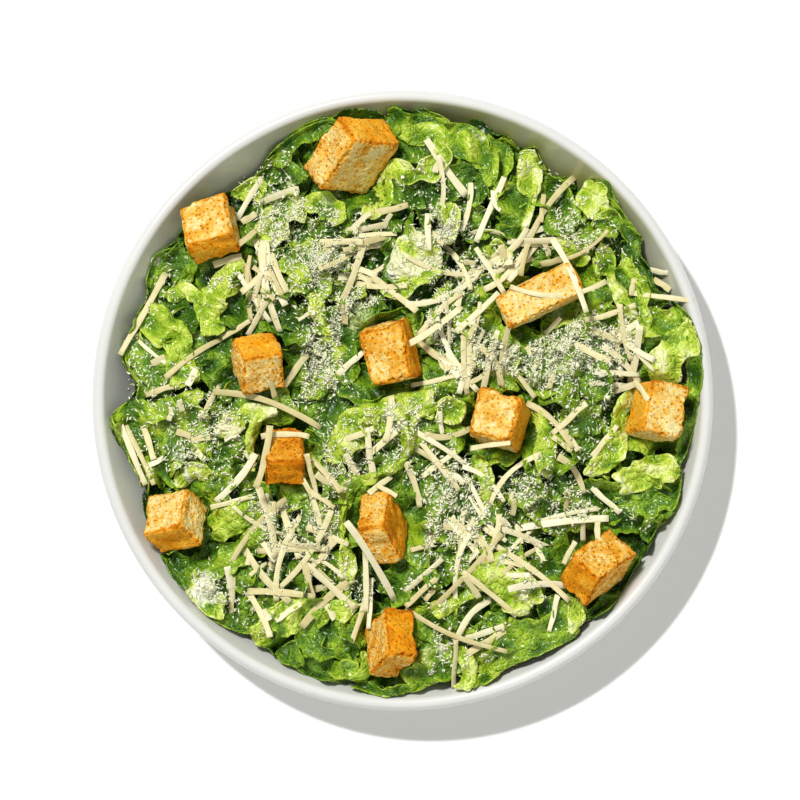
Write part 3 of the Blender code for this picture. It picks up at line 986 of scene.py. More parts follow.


# %% [markdown]
# ### Leaves of the heap
#
# Three seeded layers fill the bowl first, each lighter and higher than the last. The leaves on top are
# listed one by one, because they are what one recognises: dark flat pieces of the outer leaves, bright
# frilled tips, and pale pieces of the heart with thick ribs.

# %% Places of the top leaves
TOP_LEAVES = (
    Leaf(((24, 30), (33, 18), (34, 2)), 8, 8, 0.52, 0.3, 0.3, 0.5, 0.2),
    Leaf(((48, 33), (57, 31), (66, 26)), 6, 6, 0.64, 0.3, 0.3, 0.5, 0.2),
    Leaf(((26, -22), (34, -17), (42, -19)), 4, 5, 0.5, 0.3, 0.3, 0.5, 0.2),
    Leaf(((66, -79), (77, -70), (87, -57)), 5, 5.5, 0.34, 0.2, 0.3, 0.5, 0.2),
    Leaf(((-48, 79), (-42, 81), (-36, 76)), 5.5, 5.5, 0.36, 0.5, 0.5, 0.5, 0.2),
    Leaf(((-55, 69), (-52, 62), (-54, 55)), 5, 4, 0.38, 0.2, 0.2, 0.5, 0.2),
    Leaf(((-90, 38), (-86, 47), (-75, 50)), 8, 8, 0.36, 0.3, 0.2, 0.5, 0.3),
    Leaf(((-83, 31), (-72, 28)), 7, 6, 0.28, 0.1, 0.1, 0.2, 0.2),
    Leaf(((-70, 18), (-66, 9), (-56, 0)), 7, 6, 0.34, 0.1, 0.1, 0.5, 0.2),
    Leaf(((-66, -18), (-54, -25)), 9, 9, 0.36, 0.2, 0.2, 0.6, 0.2),
    Leaf(((-61, -2), (-50, 0)), 5, 5, 0.34, 0.2, 0.2, 0.4, 0.2),
    Leaf(((-6, 74), (8, 73)), 7, 6, 0.34, 0.2, 0.2, 0.4, 0.2),
    Leaf(((13, 74), (20, 79), (27, 85)), 6, 6, 0.38, 0.3, 0.2, 0.5, 0.2),
    Leaf(((-4, 89), (10, 89)), 5, 5, 0.32, 0.1, 0.1, 0.4, 0.2),
    Leaf(((-29, 60), (-20, 61)), 6, 5, 0.34, 0.2, 0.2, 0.4, 0.2),
    Leaf(((50, 78), (55, 69), (60, 58)), 7, 7, 0.42, 0.3, 0.3, 0.6, 0.2),
    Leaf(((73, 72), (78, 66), (82, 58), (88, 58)), 3.5, 4.5, 0.42, 0.4, 0.5, 0.4, 0.2),
    Leaf(((84, 57), (88, 44), (92, 35)), 7, 7, 0.34, 0.1, 0.1, 0.4, 0.2),
    Leaf(((100, 34), (105, 21), (105, 4), (102, -14), (98, -25)), 4, 5.5, 0.38, 0.2, 0.4, 0.4, 0.3),
    Leaf(((38, 21), (50, 11), (65, 5)), 11, 10, 0.42, 0.2, 0.2, 0.6, 0.4),
    Leaf(((50, 29), (65, 19)), 8, 7, 0.44, 0.2, 0.2, 0.6, 0.3),
    Leaf(((56, -37), (74, -35), (91, -33), (102, -28)), 8, 9, 0.42, 0.3, 0.3, 0.6, 0.5),
    Leaf(((70, -45), (84, -41), (98, -37)), 5, 6, 0.4, 0.3, 0.4, 0.5, 0.4),
    Leaf(((90, -40), (88, -52)), 4, 5, 0.38, 0.3, 0.3, 0.4, 0.2),
    Leaf(((50, -71), (61, -80)), 7, 7, 0.34, 0.1, 0.1, 0.4, 0.2),
    Leaf(((-6, -68), (6, -59), (21, -55)), 7, 9, 0.38, 0.1, 0.2, 0.2, 0.3),
    Leaf(((-38, -86), (-32, -95), (-21, -101)), 6, 6, 0.4, 0.4, 0.3, 0.7, 0.3),
    Leaf(((-35, -79), (-25, -85), (-14, -89)), 8, 9, 0.4, 0.2, 0.2, 0.5, 0.4),
    Leaf(((3, -28), (17, -35), (35, -37)), 12, 12, 0.38, 0.2, 0.2, 0.5, 0.3),
    Leaf(((-36, -17), (-26, -26), (-20, -35)), 8, 8, 0.4, 0.2, 0.2, 0.6, 0.3),
    Leaf(((-24, 10), (-12, 4), (0, 5)), 7, 7, 0.34, 0.1, 0.1, 0.3, 0.2),
    Leaf(((-83, -55), (-75, -68)), 6, 6, 0.32, 0.1, 0.1, 0.5, 0.2),
    Leaf(((-70, -74), (-61, -79), (-52, -81)), 5.5, 4.5, 0.42, 0.2, 0.2, 0.2, 0.3),
    Leaf(((-43, -88), (-36, -95)), 5, 5, 0.4, 0.3, 0.3, 0.6, 0.2),
    Leaf(((5, -77), (17, -82)), 6, 6, 0.38, 0.2, 0.2, 0.5, 0.2),
    Leaf(((56, -7), (70, -6)), 7, 7, 0.4, 0.1, 0.1, 0.4, 0.2),
    Leaf(((-24, 100), (-36, 95), (-48, 84)), 5, 8, 0.44, 0.2, 0.3, 0.4, 0.3),
    Leaf(((-60, 72), (-55, 77), (-49, 73)), 4, 5, 0.66, 0.2, 0.2, 0.6, 0.2),
    Leaf(((-35, 69), (-29, 69), (-20, 66)), 5, 5, 0.6, 0.3, 0.2, 0.7, 0.2),
    Leaf(((-35, 57), (-33, 47), (-29, 35)), 7, 7, 0.5, 0.2, 0.2, 0.7, 0.4),
    Leaf(((-7, 101), (3, 98), (14, 96)), 5, 7, 0.43, 0.3, -0.3, 0.5, 0.4),
    Leaf(((34, 94), (34, 83), (31, 72)), 5, 5, 0.5, 0.5, 0.4, 0.6, 0.2),
    Leaf(((30, 83), (28, 76), (24, 69)), 4, 4, 0.46, 0.3, 0.3, 0.5, 0.2),
    Leaf(((-89, 33), (-92, 19), (-84, 4)), 10, 8, 0.44, 0.2, 0.4, 0.5, 0.5),
    Leaf(((-83, -13), (-82, -23), (-72, -29), (-60, -27)), 9, 8, 0.42, 0.4, 0.5, 0.8, 0.3),
    Leaf(((65, 43), (68, 29)), 5, 5, 0.48, 0.3, 0.3, 0.6, 0.2),
    Leaf(((84, 30), (92, 28), (101, 31)), 5, 6, 0.58, 0.4, 0.3, 0.6, 0.4),
    Leaf(((57, 56), (65, 56), (71, 57)), 4, 6, 0.46, 0.3, 0.2, 0.7, 0.3),
    Leaf(((1, -57), (4, -49), (12, -44)), 4, 8, 0.5, -0.4, 0.2, 0.5, 0.3),
    Leaf(((-26, -52), (-24, -62), (-24, -71)), 5, 5, 0.48, 0.2, 0.2, 0.6, 0.3),
    Leaf(((1, -103), (10, -98), (20, -90)), 8, 6, 0.5, 0.3, -0.2, 0.6, 0.4),
    Leaf(((27, -91), (33, -95), (28, -103)), 5, 5, 0.56, 0.3, 0.3, 0.4, 0.3),
    Leaf(((-19, -102), (-7, -105), (3, -103)), 4, 4, 0.42, 0.5, 0.3, 0.6, 0.2),
    Leaf(((-59, -57), (-55, -68)), 5, 5, 0.42, 0.2, 0.2, 0.5, 0.2),
    Leaf(((34, -94), (49, -87), (65, -80)), 11, 4, 0.5, 0.1, 0.1, 0.1, 0.5),
    Leaf(((-20, 18), (-18, 5)), 5, 5, 0.4, 0.2, 0.2, 0.4, 0.2),
    Leaf(((40, -35), (50, -29)), 7, 7, 0.44, 0.3, 0.3, 0.7, 0.2),
    Leaf(((13, -44), (24, -51), (22, -64)), 6, 6, 0.46, 0.3, 0.3, 0.6, 0.2),
    Leaf(((35, 50), (42, 39)), 6, 5, 0.56, 0.3, 0.3, 0.6, 0.2),
    Leaf(((6, 32), (10, 19)), 6, 6, 0.5, 0.2, 0.2, 0.6, 0.2),
    Leaf(((-36, 72), (-43, 66), (-50, 56)), 8, 7, 0.7, 0.4, 0.3, 0.8, 0.3),
    Leaf(((10, 96), (19, 93), (27, 89), (30, 84)), 7, 5, 0.51, 0.4, -0.5, 0.9, 0.3),
    Leaf(
        ((-3, 95), (4, 92), (11, 93), (16, 89), (24, 86), (29, 83), (30, 78)),
        7, 2.5, 0.53, -0.35, -1.1, 0.5, 0.3,
    ),
    Leaf(((-11, 78), (-2, 81), (6, 80), (15, 85), (13, 90)), 4.5, 5, 0.68, 0.9, 1, 0.4, 0.6),
    Leaf(((-10, 78), (-8, 72), (-12, 64)), 4, 4, 0.72, -0.5, -0.6, 0.3, 0.6),
    Leaf(((-5, 49), (3, 47), (14, 49)), 13, 4.5, 0.8, 0.1, -0.4, 0.3, 5),
    Leaf(((16, 70), (17, 62), (15, 55)), 3.5, 3.5, 0.72, -0.3, -0.4, 0.5, 0.2),
    Leaf(((-5, 38), (2, 40), (8, 44), (15, 47)), 4, 3, 0.66, -0.9, 0.5, 0.6, 0.2),
    Leaf(((30, 55), (38, 50)), 4, 4, 0.66, 0.3, 0.3, 0.6, 0.2),
    Leaf(((48, 77), (45, 66), (41, 54)), 1.2, 11, 0.42, 0.2, -0.15, 0.15, 2.2),
    Leaf(((47, 91), (46, 83), (45, 72)), 4, 4.5, 0.72, -0.5, -0.5, 0.3, 0.4),
    Leaf(((69, 79), (68, 72), (67, 65)), 5.5, 5.5, 0.71, -0.3, -0.4, 0.6, 0.2),
    Leaf(((69, 62), (75, 66), (78, 60)), 3, 3, 0.52, 0.8, -0.6, 0.6, 0.2),
    Leaf(((68, 54), (72, 50), (70, 45)), 4, 4, 0.66, -0.5, 0.6, 0.6, 0.2),
    Leaf(((79, 49), (80, 43), (83, 35), (81, 24)), 6, 6, 0.56, 0.5, 0.3, 0.9, 0.3),
    Leaf(((74, 44), (78, 35), (83, 28), (81, 17)), 3, 3.5, 0.7, -0.8, -0.5, 0.6, 0.2),
    Leaf(((86, 9), (92, 15), (99, 22), (103, 28)), 4.5, 8.5, 0.69, -0.35, -0.25, 0.5, 0.4),
    Leaf(((42, -2), (49, -7), (52, -14), (50, -26)), 3, 4.5, 0.62, -0.8, -0.3, 0.5, 0.3),
    Leaf(((82, 3), (78, -4), (76, -13)), 3, 3, 0.68, -0.8, -0.5, 0.5, 0.2),
    Leaf(((78, -11), (74, -18), (65, -27)), 4, 3.5, 0.68, -0.3, -0.7, 0.3, 0.3),
    Leaf(((75, -31), (83, -28), (91, -25), (98, -26)), 6, 6, 0.7, -0.35, -0.35, 0.9, 0.3),
    Leaf(((27, -58), (36, -64), (46, -75)), 9, 8, 0.68, -0.2, -0.3, 0.8, 0.4),
    Leaf(((61, -71), (64, -82)), 2.5, 4, 0.74, -0.3, -0.3, 0.3, 0.2),
    Leaf(((-20, -50), (-19, -60), (-20, -72)), 2.5, 4, 0.64, -1, -0.4, 0.6, 0.2),
    Leaf(((-32, -79), (-26, -74), (-17, -73)), 3, 5, 0.62, -0.5, -0.2, 0.2, 0.4),
    Leaf(((-26, -98), (-20, -95), (-15, -96), (-14, -89)), 2.5, 4, 0.56, -0.9, -0.3, 0.7, 0.2),
    Leaf(((21, -89), (24, -97), (21, -105)), 3, 3.5, 0.72, -0.5, -0.5, 0.3, 0.3),
    Leaf(((11, -75), (19, -71), (27, -67)), 2.5, 3, 0.58, -0.8, -0.4, 0.5, 0.2),
    Leaf(((-26, -20), (-23, -11), (-18, -4), (-8, -2), (1, 1), (13, 2)), 2.5, 12, 0.66, -1, -0.25, 0.5, 0.4),
    Leaf(
        ((12, -2), (5, -7), (2, -14), (1, -20), (-4, -24), (-14, -29), (-19, -33), (-21, -40), (-22, -50)),
        2.5, 3, 0.58, -0.9, -0.8, 0.5, 0.8,
    ),
    Leaf(((13, -1), (23, -3)), 2.5, 7, 0.7, -0.8, -0.3, 0.5, 0.2),
    Leaf(((26, -19), (29, -25), (30, -32), (29, -40)), 3, 3, 0.64, -0.7, -0.6, 0.4, 0.3),
    Leaf(((-69, -47), (-59, -43), (-49, -40)), 7, 6, 0.6, -0.2, -0.4, 0.8, 0.3),
    Leaf(((-49, -43), (-58, -52), (-68, -59), (-76, -64)), 7, 3, 0.5, -0.25, -1, 0.5, 0.3),
    Leaf(((-75, -65), (-70, -72), (-63, -75)), 6, 5, 0.7, -0.3, -0.3, 0.4, 0.5),
    Leaf(((-53, -88), (-45, -80), (-34, -71)), 6, 6, 0.6, 0.3, -0.5, 0.5, 0.3),
    Leaf(((-59, 48), (-64, 43), (-70, 37), (-70, 28), (-67, 20)), 8, 3, 0.65, -0.3, -1, 0.6, 0.3),
    Leaf(((-85, 35), (-77, 39), (-71, 36)), 3, 3, 0.66, -0.6, -0.8, 0.5, 0.2),
    Leaf(((-86, 35), (-85, 28), (-78, 24), (-77, 17), (-73, 7)), 3, 9, 0.58, -1, -0.25, 0.7, 0.4),
    Leaf(((-105, -10), (-100, -4), (-89, -4), (-80, -1), (-71, 4)), 3.5, 4.5, 0.52, -0.7, -0.7, 0.5, 0.3),
    Leaf(((-64, -11), (-54, -5), (-42, -3)), 4, 4, 0.74, -0.5, -0.9, 0.5, 0.2),
    Leaf(((-51, -7), (-54, -15), (-53, -25)), 2.2, 2.2, 0.68, -0.8, -0.8, 0.4, 0.2),
    Leaf(((-80, -29), (-73, -25), (-67, -27)), 3.5, 3.5, 0.68, -0.4, -0.6, 0.6, 0.2),
    Leaf(((-26, 23), (-22, 14), (-27, 5), (-36, 0)), 3, 6.5, 0.55, -0.9, -0.3, 0.6, 0.3),
    Leaf(((-30, 37), (-29, 29), (-26, 22)), 2.5, 3.5, 0.68, -0.9, -0.4, 0.5, 0.2),
    Leaf(((-43, 49), (-37, 45), (-36, 37)), 4, 4, 0.6, -0.4, -0.5, 0.6, 0.2),
    Leaf(((-22, -49), (-26, -43), (-33, -37)), 3, 4, 0.6, -0.5, -0.5, 0.5, 0.2),
    Leaf(((54, 57), (61, 52), (66, 49)), 3, 4, 0.66, -0.4, -0.4, 0.7, 0.2),
)


# %% Places of the leaves below
def ring_places(rings, spacing, dice):
    """Places on rings round the middle, about spacing apart, each moved a little by chance."""
    places = [(0.0, 0.0)]
    for radius in rings:
        count = int(2 * math.pi * radius / spacing)
        bearings = np.linspace(0, 2 * np.pi, count, endpoint=False) + dice.uniform(0, 1)
        reach = radius + dice.uniform(-0.2, 0.2, count) * spacing
        places += [(r * math.cos(b), r * math.sin(b)) for r, b in zip(reach, bearings)]
    return places


def strewn_leaf(place, tone, dice):
    """A leaf at a place, with a heading, size, bend and rise of its sides by chance."""
    heading, length = dice.uniform(0, 2 * np.pi), dice.uniform(24, 38)
    way = np.array([math.cos(heading), math.sin(heading)]) * length / 2
    sideways = np.array([-way[1], way[0]]) * dice.uniform(-0.3, 0.3)
    path = (np.array(place) - way, np.array(place) + sideways, np.array(place) + way)
    left, right = length * dice.uniform(0.25, 0.4, 2)
    rises = dice.uniform(-0.4, 0.7, 2)
    return Leaf(path, left, right, tone + dice.uniform(-0.08, 0.1), *rises, dice.uniform(0.4, 0.9), 0.4)


# %% Lay them all, from the bottom up
UNDER_GRID, TOP_GRID = 0.95, 0.62  # mm between the points of a leaf
# The deeper layers are darker, partly as dark outer leaves and partly as painted shade in the depths of the
# heap.
UNDER_LAYERS = (  # depth, tone, radii of the rings and spacing
    (11.0, 0.18, (22, 44, 66, 84), 24),
    (6.5, 0.27, (18, 38, 58, 78, 90), 22),
    (3.5, 0.42, (24, 48, 70, 90), 27),
)
under_parts, top_parts = [], []
for layer, (depth, tone, rings, spacing) in enumerate(UNDER_LAYERS):
    for number, place in enumerate(ring_places(rings, spacing, dice_for(20, layer))):
        dice = dice_for(21, layer, number)
        under_parts.append(leaf_part(strewn_leaf(place, tone, dice), depth, UNDER_GRID, dice))
for number, leaf in enumerate(TOP_LEAVES):
    depth = 7 * max(0.72 - leaf.tone, 0) - 0.4
    top_parts.append(leaf_part(leaf, depth, TOP_GRID, dice_for(24, number)))
print(f"{len(under_parts)} leaves below and {len(top_parts)} on top")

# %% [markdown]
# ### Leaf colours
#
# One material serves every leaf. An attribute says how pale a spot is, from the dark outer leaves to the
# cream heart, with painted light on ridges and edges and painted shade in the hollows, and a colour ramp
# turns it into green. Veins and noise shift it a little, so that no leaf is one flat colour. The dressing and
# the finest cheese show as a broken white film, which lies in the creases where cheese was strewn.

# %% Leaf material
green = Finish("romaine_leaf")
mottle = green.noise(8, detail=3, roughness=0.5)
grain = green.noise(1.2, detail=2)
leaf_place = green.add("ShaderNodeCombineXYZ", {"X": green.attribute("leaf_x"), "Y": green.attribute("leaf_y")})
network = green.add(
    "ShaderNodeTexVoronoi",
    {"Vector": leaf_place, "Scale": 1 / SMALL_BLISTER, "Randomness": 0.9},
    feature="DISTANCE_TO_EDGE",
)
plump = green.add("ShaderNodeMapRange", {"Value": network, "From Max": 0.3}, interpolation_type="SMOOTHSTEP")
fine_vein = green.add("ShaderNodeMapRange", {"Value": network, "From Max": 0.07, "To Min": 1.0, "To Max": 0.0})
tone_here = green.math("MULTIPLY_ADD", green.attribute("vein"), 0.14, green.attribute("tone"))
tone_here = green.math("MULTIPLY_ADD", fine_vein, 0.10, tone_here)
tone_here = green.math("ADD", tone_here, green.math("MULTIPLY_ADD", mottle, 0.30, -0.15))
leaf_colour = green.ramp(
    tone_here,
    [
        (0.05, (0.012, 0.038, 0.002)),
        (0.30, (0.034, 0.105, 0.005)),
        (0.50, (0.105, 0.225, 0.012)),
        (0.66, (0.270, 0.430, 0.016)),
        (0.82, (0.550, 0.670, 0.075)),
        (0.95, (0.76, 0.81, 0.36)),
        (1.00, (0.82, 0.83, 0.50)),
    ],
)
dust = green.noise(0.8, detail=2, roughness=0.7)
film = green.noise(4.0, detail=5, roughness=0.65)
film = green.math("MULTIPLY_ADD", green.attribute("vein"), 0.35, film)
film_here = green.math("MULTIPLY_ADD", dust, 0.8, film)
film_here = green.math("MULTIPLY", film_here, green.attribute("cream"))
cream_share = green.add(
    "ShaderNodeMapRange", {"Value": film_here, "From Min": 0.75, "From Max": 1.6, "To Min": 0.0, "To Max": 0.5}
)
filmed_colour = green.mix(cream_share, leaf_colour, (0.58, 0.68, 0.29))
fleck = green.math("MULTIPLY_ADD", green.attribute("cream"), 0.3, green.noise(1.1, detail=3, roughness=0.6))
fleck = green.math("MULTIPLY_ADD", green.attribute("vein"), 0.05, fleck)
fleck = green.add("ShaderNodeMapRange", {"Value": fleck, "From Min": 0.80, "From Max": 0.90, "To Max": 0.55})
flecked_colour = green.mix(fleck, filmed_colour, (0.74, 0.83, 0.38))
blob = green.math("MULTIPLY_ADD", green.noise(3.0, detail=3, roughness=0.5), 1.2, green.attribute("dressing"))
blob = green.add("ShaderNodeMapRange", {"Value": blob, "From Min": 1.05, "From Max": 1.3, "To Max": 0.92})
romaine_leaf = green.done(
    base_color=green.mix(blob, flecked_colour, (0.86, 0.85, 0.70)),
    roughness=green.math("MULTIPLY_ADD", mottle, 0.25, 0.16),
    normal=green.bump(grain, 0.15, 0.3, green.bump(plump, 0.45, 0.9)),
    specular_ior_level=0.5,
)

# %% Join the leaves into pieces
def leaf_pieces(name, parts, most=190_000):
    """Joins leaves into as few pieces as stay under a number of triangles, numbered from 1."""
    group, count, made = [], 0, []
    for part in parts + [None]:
        size = 0 if part is None else 2 * len(part[1])
        if part is None or count + size > most:
            points, faces, values = joined(group)
            made.append(new_object(f"{name}_{len(made) + 1}", points, faces, romaine_leaf, values))
            group, count = [], 0
        if part is not None:
            group.append(part)
            count += size
    for piece in made:
        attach(piece, "root")
        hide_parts("salad")


leaf_pieces("romaine_below", under_parts)
leaf_pieces("romaine_top", top_parts)

# %% [markdown]
# ## Shredded cheese
#
# The shreds come off the coarse side of a grater: flat sticks about two and a half millimetres wide and up
# to 40 mm long, a little bent, cut square at the ends. They are stiff enough to bridge the gaps between
# leaves. So the height of each is the lowest curve of a limited bend that stays over what is under it, and
# shreds lie over each other too.

# %% Shape of a shred
Shred = namedtuple("Shred", "east north to_east to_north bow width", defaults=(0.0, 2.3))
SHRED_STEPS = 15
SHRED_BEND = 110.0  # radius in mm of its droop over what holds it up
SHRED_SINK = 0.6  # how far it presses into what is under it
SECTION = np.array([(-1, -0.8), (-0.92, -1), (0.92, -1), (1, -0.8), (1, 0.8), (0.92, 1), (-0.92, 1), (-1, 0.8)])


def shred_part(shred, dice):
    """A bent stick laid over the heap: a rounded rectangle carried along a bowed path, closed at both ends.
    Its height is a line less a parabola: of those that clear all but two of its seats, the lowest in the
    middle."""
    # Its bowed path, and the heights under its middle and both sides.
    share = np.linspace(0, 1, SHRED_STEPS)
    start = np.array([shred.east, shred.north])
    way = np.array([shred.to_east, shred.to_north]) - start
    length = np.linalg.norm(way)
    way = way / length
    left = np.array([-way[1], way[0]])
    bow = shred.bow * 4 * share * (1 - share) + 0.12 * np.sin(share * dice.uniform(4, 9) + dice.uniform(0, 6))
    path = start + share[:, None] * length * way + bow[:, None] * left
    offsets = np.linspace(-0.5, 0.5, 3) * shred.width
    seats = path[:, None] + offsets[:, None] * left
    seat = read_heights(support, seats[..., 0], seats[..., 1]).max(1)
    thick, girth = dice.uniform(0.35, 0.6), dice.uniform(0.75, 1.1)
    # The line and the parabola on which it rests.
    slopes = np.linspace(-0.6, 0.6, 41)
    gap = (share - 0.5) * length
    rests = np.sort(seat - slopes[:, None] * gap + gap**2 / (2 * SHRED_BEND), axis=1)[:, -3]
    best = np.argmin(rests)
    height = rests[best] + slopes[best] * gap - gap**2 / (2 * SHRED_BEND) + thick / 2 - SHRED_SINK
    # Its section, rolled a little, uneven in width, and carried along.
    centre = np.column_stack([path, height])
    forward = np.gradient(centre, axis=0)
    forward /= np.linalg.norm(forward, axis=1)[:, None]
    roll = dice.normal(0, 0.25) + dice.normal(0, 0.25) * (share - 0.5)
    flat = np.cross([0, 0, 1], forward)
    flat /= np.linalg.norm(flat, axis=1)[:, None]
    up = np.cross(forward, flat)
    across = flat * np.cos(roll)[:, None] + up * np.sin(roll)[:, None]
    above = np.cross(forward, across)
    uneven = 1 + 0.07 * np.sin(share * 11 + dice.uniform(0, 6))
    half = shred.width * girth / 2 * uneven * (1 - 0.25 * dice.uniform() * share)
    body = centre[:, None] + SECTION[:, 0, None] * (across * half[:, None])[:, None]
    body = body + SECTION[:, 1, None] * (above * thick / 2)[:, None]
    write_heights(support, body)
    write_heights(support, (body[1:] + body[:-1]) / 2)
    # Faces round it and at both ends.
    sides = len(SECTION)
    index = np.arange(SHRED_STEPS * sides).reshape(SHRED_STEPS, sides)
    after = np.roll(index, -1, axis=1)
    quads = np.stack([index[:-1], after[:-1], after[1:], index[1:]], -1).reshape(-1, 4)
    first, last = index[0], index[-1]
    caps = [[first[0], first[k + 2], first[k + 1], first[0]] for k in range(sides - 2)]
    caps += [[last[0], last[k + 1], last[k + 2], last[0]] for k in range(sides - 2)]
    caps = np.array(caps)[:, :3]
    triangles = np.concatenate([quads[:, [0, 1, 2]], quads[:, [0, 2, 3]], caps])
    tint = np.full(SHRED_STEPS * sides, dice.uniform(0, 1))
    return body.reshape(-1, 3), triangles, {"tint": tint}


# %% Places of the shreds
SHREDS = (
    Shred(-49, 52, -49, 36),
    Shred(-47, 52, -41, 38),
    Shred(-57, 38, -50, 44),
    Shred(-53, 47, -46, 42),
    Shred(-53, 35, -50, 45),
    Shred(-67, 48, -57, 51),
    Shred(-57, 63, -52, 66),
    Shred(-58, 55, -52, 60),
    Shred(-18, 59, -11, 66, 1),
    Shred(-10, 66, 2, 69),
    Shred(-16, 58, -2, 59),
    Shred(-7, 61, -4, 66),
    Shred(-20, 48, -9, 44),
    Shred(-18, 47, -11, 41),
    Shred(-21, 53, -6, 55),
    Shred(-18, 55, -5, 58),
    Shred(29, 48, 39, 49),
    Shred(35, 55, 36, 49),
    Shred(50, 73, 49, 63),
    Shred(42, 58, 50, 61),
    Shred(43, 56, 56, 57),
    Shred(49, 48, 57, 50),
    Shred(50, 57, 52, 51),
    Shred(82, 43, 81, 37),
    Shred(88, 46, 94, 45),
    Shred(89, 43, 95, 39),
    Shred(-23, 9, -14, 17),
    Shred(21, 18, 26, 27),
    Shred(22, 25, 23, 2, -1),
    Shred(13, 16, 20, 8),
    Shred(16, 17, 21, 10),
    Shred(29, 9, 24, 6),
    Shred(8, -12, 24, -10, -2),
    Shred(13, -4, 14, -12),
    Shred(-13, -20, -2, -11),
    Shred(-20, -14, -10, -10),
    Shred(7, -27, 19, -18),
    Shred(-20, -19, -16, -27),
    Shred(-12, -33, -4, -27),
    Shred(-9, -30, -2, -34),
    Shred(-34, -19, -30, -35),
    Shred(-33, -32, -24, -38),
    Shred(66, 25, 78, 21),
    Shred(77, 34, 81, 14, -1),
    Shred(71, 19, 84, 6, 1),
    Shred(68, 10, 84, 9),
    Shred(66, 6, 81, 5),
    Shred(74, 3, 84, 6),
    Shred(82, 7, 87, 0),
    Shred(50, 23, 56, 29),
    Shred(44, 19, 46, 16),
    Shred(53, 9, 52, 4),
    Shred(53, -13, 60, -18),
    Shred(57, -9, 62, -18),
    Shred(58, -32, 58, -39),
    Shred(67, -20, 76, -9),
    Shred(-12, -67, -18, -86),
    Shred(-35, -57, -32, -70),
    Shred(-24, -50, -33, -60),
    Shred(23, -90, 37, -81),
    Shred(21, -85, 36, -80),
    Shred(22, -62, 27, -70),
    Shred(3, -53, 11, -51),
    Shred(16, -42, 27, -55),
    Shred(8, -71, 11, -67),
    Shred(37, -46, 50, -52),
    Shred(64, -39, 64, -50),
    Shred(69, -43, 69, -50),
    Shred(61, -50, 57, -58),
    Shred(36, -57, 47, -60),
    Shred(36, -62, 45, -62),
    Shred(47, -51, 50, -57),
    Shred(-89, 13, -84, 15),
    Shred(-91, 2, -81, 5),
    Shred(-76, 5, -73, 11),
    Shred(-79, 0, -78, -4),
    Shred(-71, -6, -65, 5),
    Shred(-64, 22, -54, 28),
    Shred(-48, 35, -55, 23),
    Shred(-47, 7, -45, 1),
    Shred(-34, 16, -42, 5),
    Shred(-91, -24, -84, -20),
    Shred(-80, -11, -75, -13),
    Shred(-75, -14, -68, -13),
    Shred(-65, -9, -57, -11),
    Shred(-63, -14, -58, -12),
    Shred(-73, -18, -70, -21),
    Shred(-56, -18, -52, -23),
    Shred(-50, -50, -45, -57),
    Shred(-45, -78, -36, -72),
    Shred(-49, -74, -47, -78),
    Shred(-36, -41, -42, -51),
    Shred(-50, -13, -33, -13, 1),
    Shred(-84, 45, -100, 16),
    Shred(-50, 79, -59, 64),
    Shred(-67, 3, -29, -10, 3),
    Shred(-30, 56, -14, 56),
    Shred(-14, 55, -23, 33, 1),
    Shred(36, 79, 26, 56),
    Shred(24, 77, 21, 60, 1),
    Shred(61, 79, 42, 44, -4),
    Shred(9, 66, 9, 53),
    Shred(53, 57, 65, 31, 1),
    Shred(1, 34, 28, 47, -4),
    Shred(14, 55, 24, 39, 2),
    Shred(26, 54, 36, 38),
    Shred(38, 40, 72, 42, -4),
    Shred(81, 38, 103, 35),
    Shred(19, 24, 34, 38),
    Shred(15, 35, 16, 17, 1),
    Shred(27, 19, 35, 5, 2),
    Shred(40, 10, 47, 1),
    Shred(3, 5, 21, 9),
    Shred(-100, -9, -91, -30),
    Shred(-98, -9, -88, -30),
    Shred(-92, -9, -88, -21),
    Shred(-47, -9, -52, -31, 1),
    Shred(-52, -19, -66, -36, 1),
    Shred(-68, -38, -53, -34),
    Shred(-51, -31, -45, -56, 1),
    Shred(-41, -35, -61, -58, -2),
    Shred(-25, -39, -44, -67, 2),
    Shred(-34, -45, -19, -51),
    Shred(-20, -43, -3, -71, 1),
    Shred(-55, -68, -31, -70, 1),
    Shred(-55, -68, -47, -84, 1),
    Shred(-34, -58, -17, -74),
    Shred(-13, -53, -13, -75),
    Shred(-11, -63, -12, -81),
    Shred(-62, -59, -60, -72),
    Shred(44, -1, 60, -17, 2),
    Shred(65, -1, 53, -12),
    Shred(24, -17, 38, -15),
    Shred(49, -19, 31, -37, -3),
    Shred(55, -20, 64, -33, 2),
    Shred(67, -31, 77, -40),
    Shred(40, -46, 73, -42, 1),
    Shred(34, -45, 52, -52),
    Shred(32, -51, 59, -71, 1),
    Shred(35, -47, 10, -74, 1),
    Shred(1, -74, 37, -89, -2),
    Shred(32, -70, 19, -85, -2),
    Shred(19, -85, 18, -102),
    Shred(55, -69, 52, -82),
    Shred(14, -56, 1, -68),
    Shred(12, -63, 1, -73),
    Shred(1, -22, 6, -38, 1),
    Shred(4, -17, 20, -32, 2),
)

# %% Shreds dropped by chance
LOOSE_SHREDS = 125
LOOSE_REACH = 92.0  # how far from the axis they may fall
# A pile has the heading of its shreds, and how much they differ from it, in degrees.
Pile = namedtuple("Pile", "east north spread heading turn")
PILES = (
    Pile(-13, 48, 8, 20, 40),
    Pile(-49, 43, 5, 95, 18),
    Pile(27, 39, 11, 50, 60),
    Pile(75, 14, 8, -60, 45),
    Pile(30, -46, 12, -45, 45),
    Pile(-40, -57, 11, 60, 45),
    Pile(43, 47, 5, 50, 25),
    Pile(23, 14, 8, 90, 40),
)


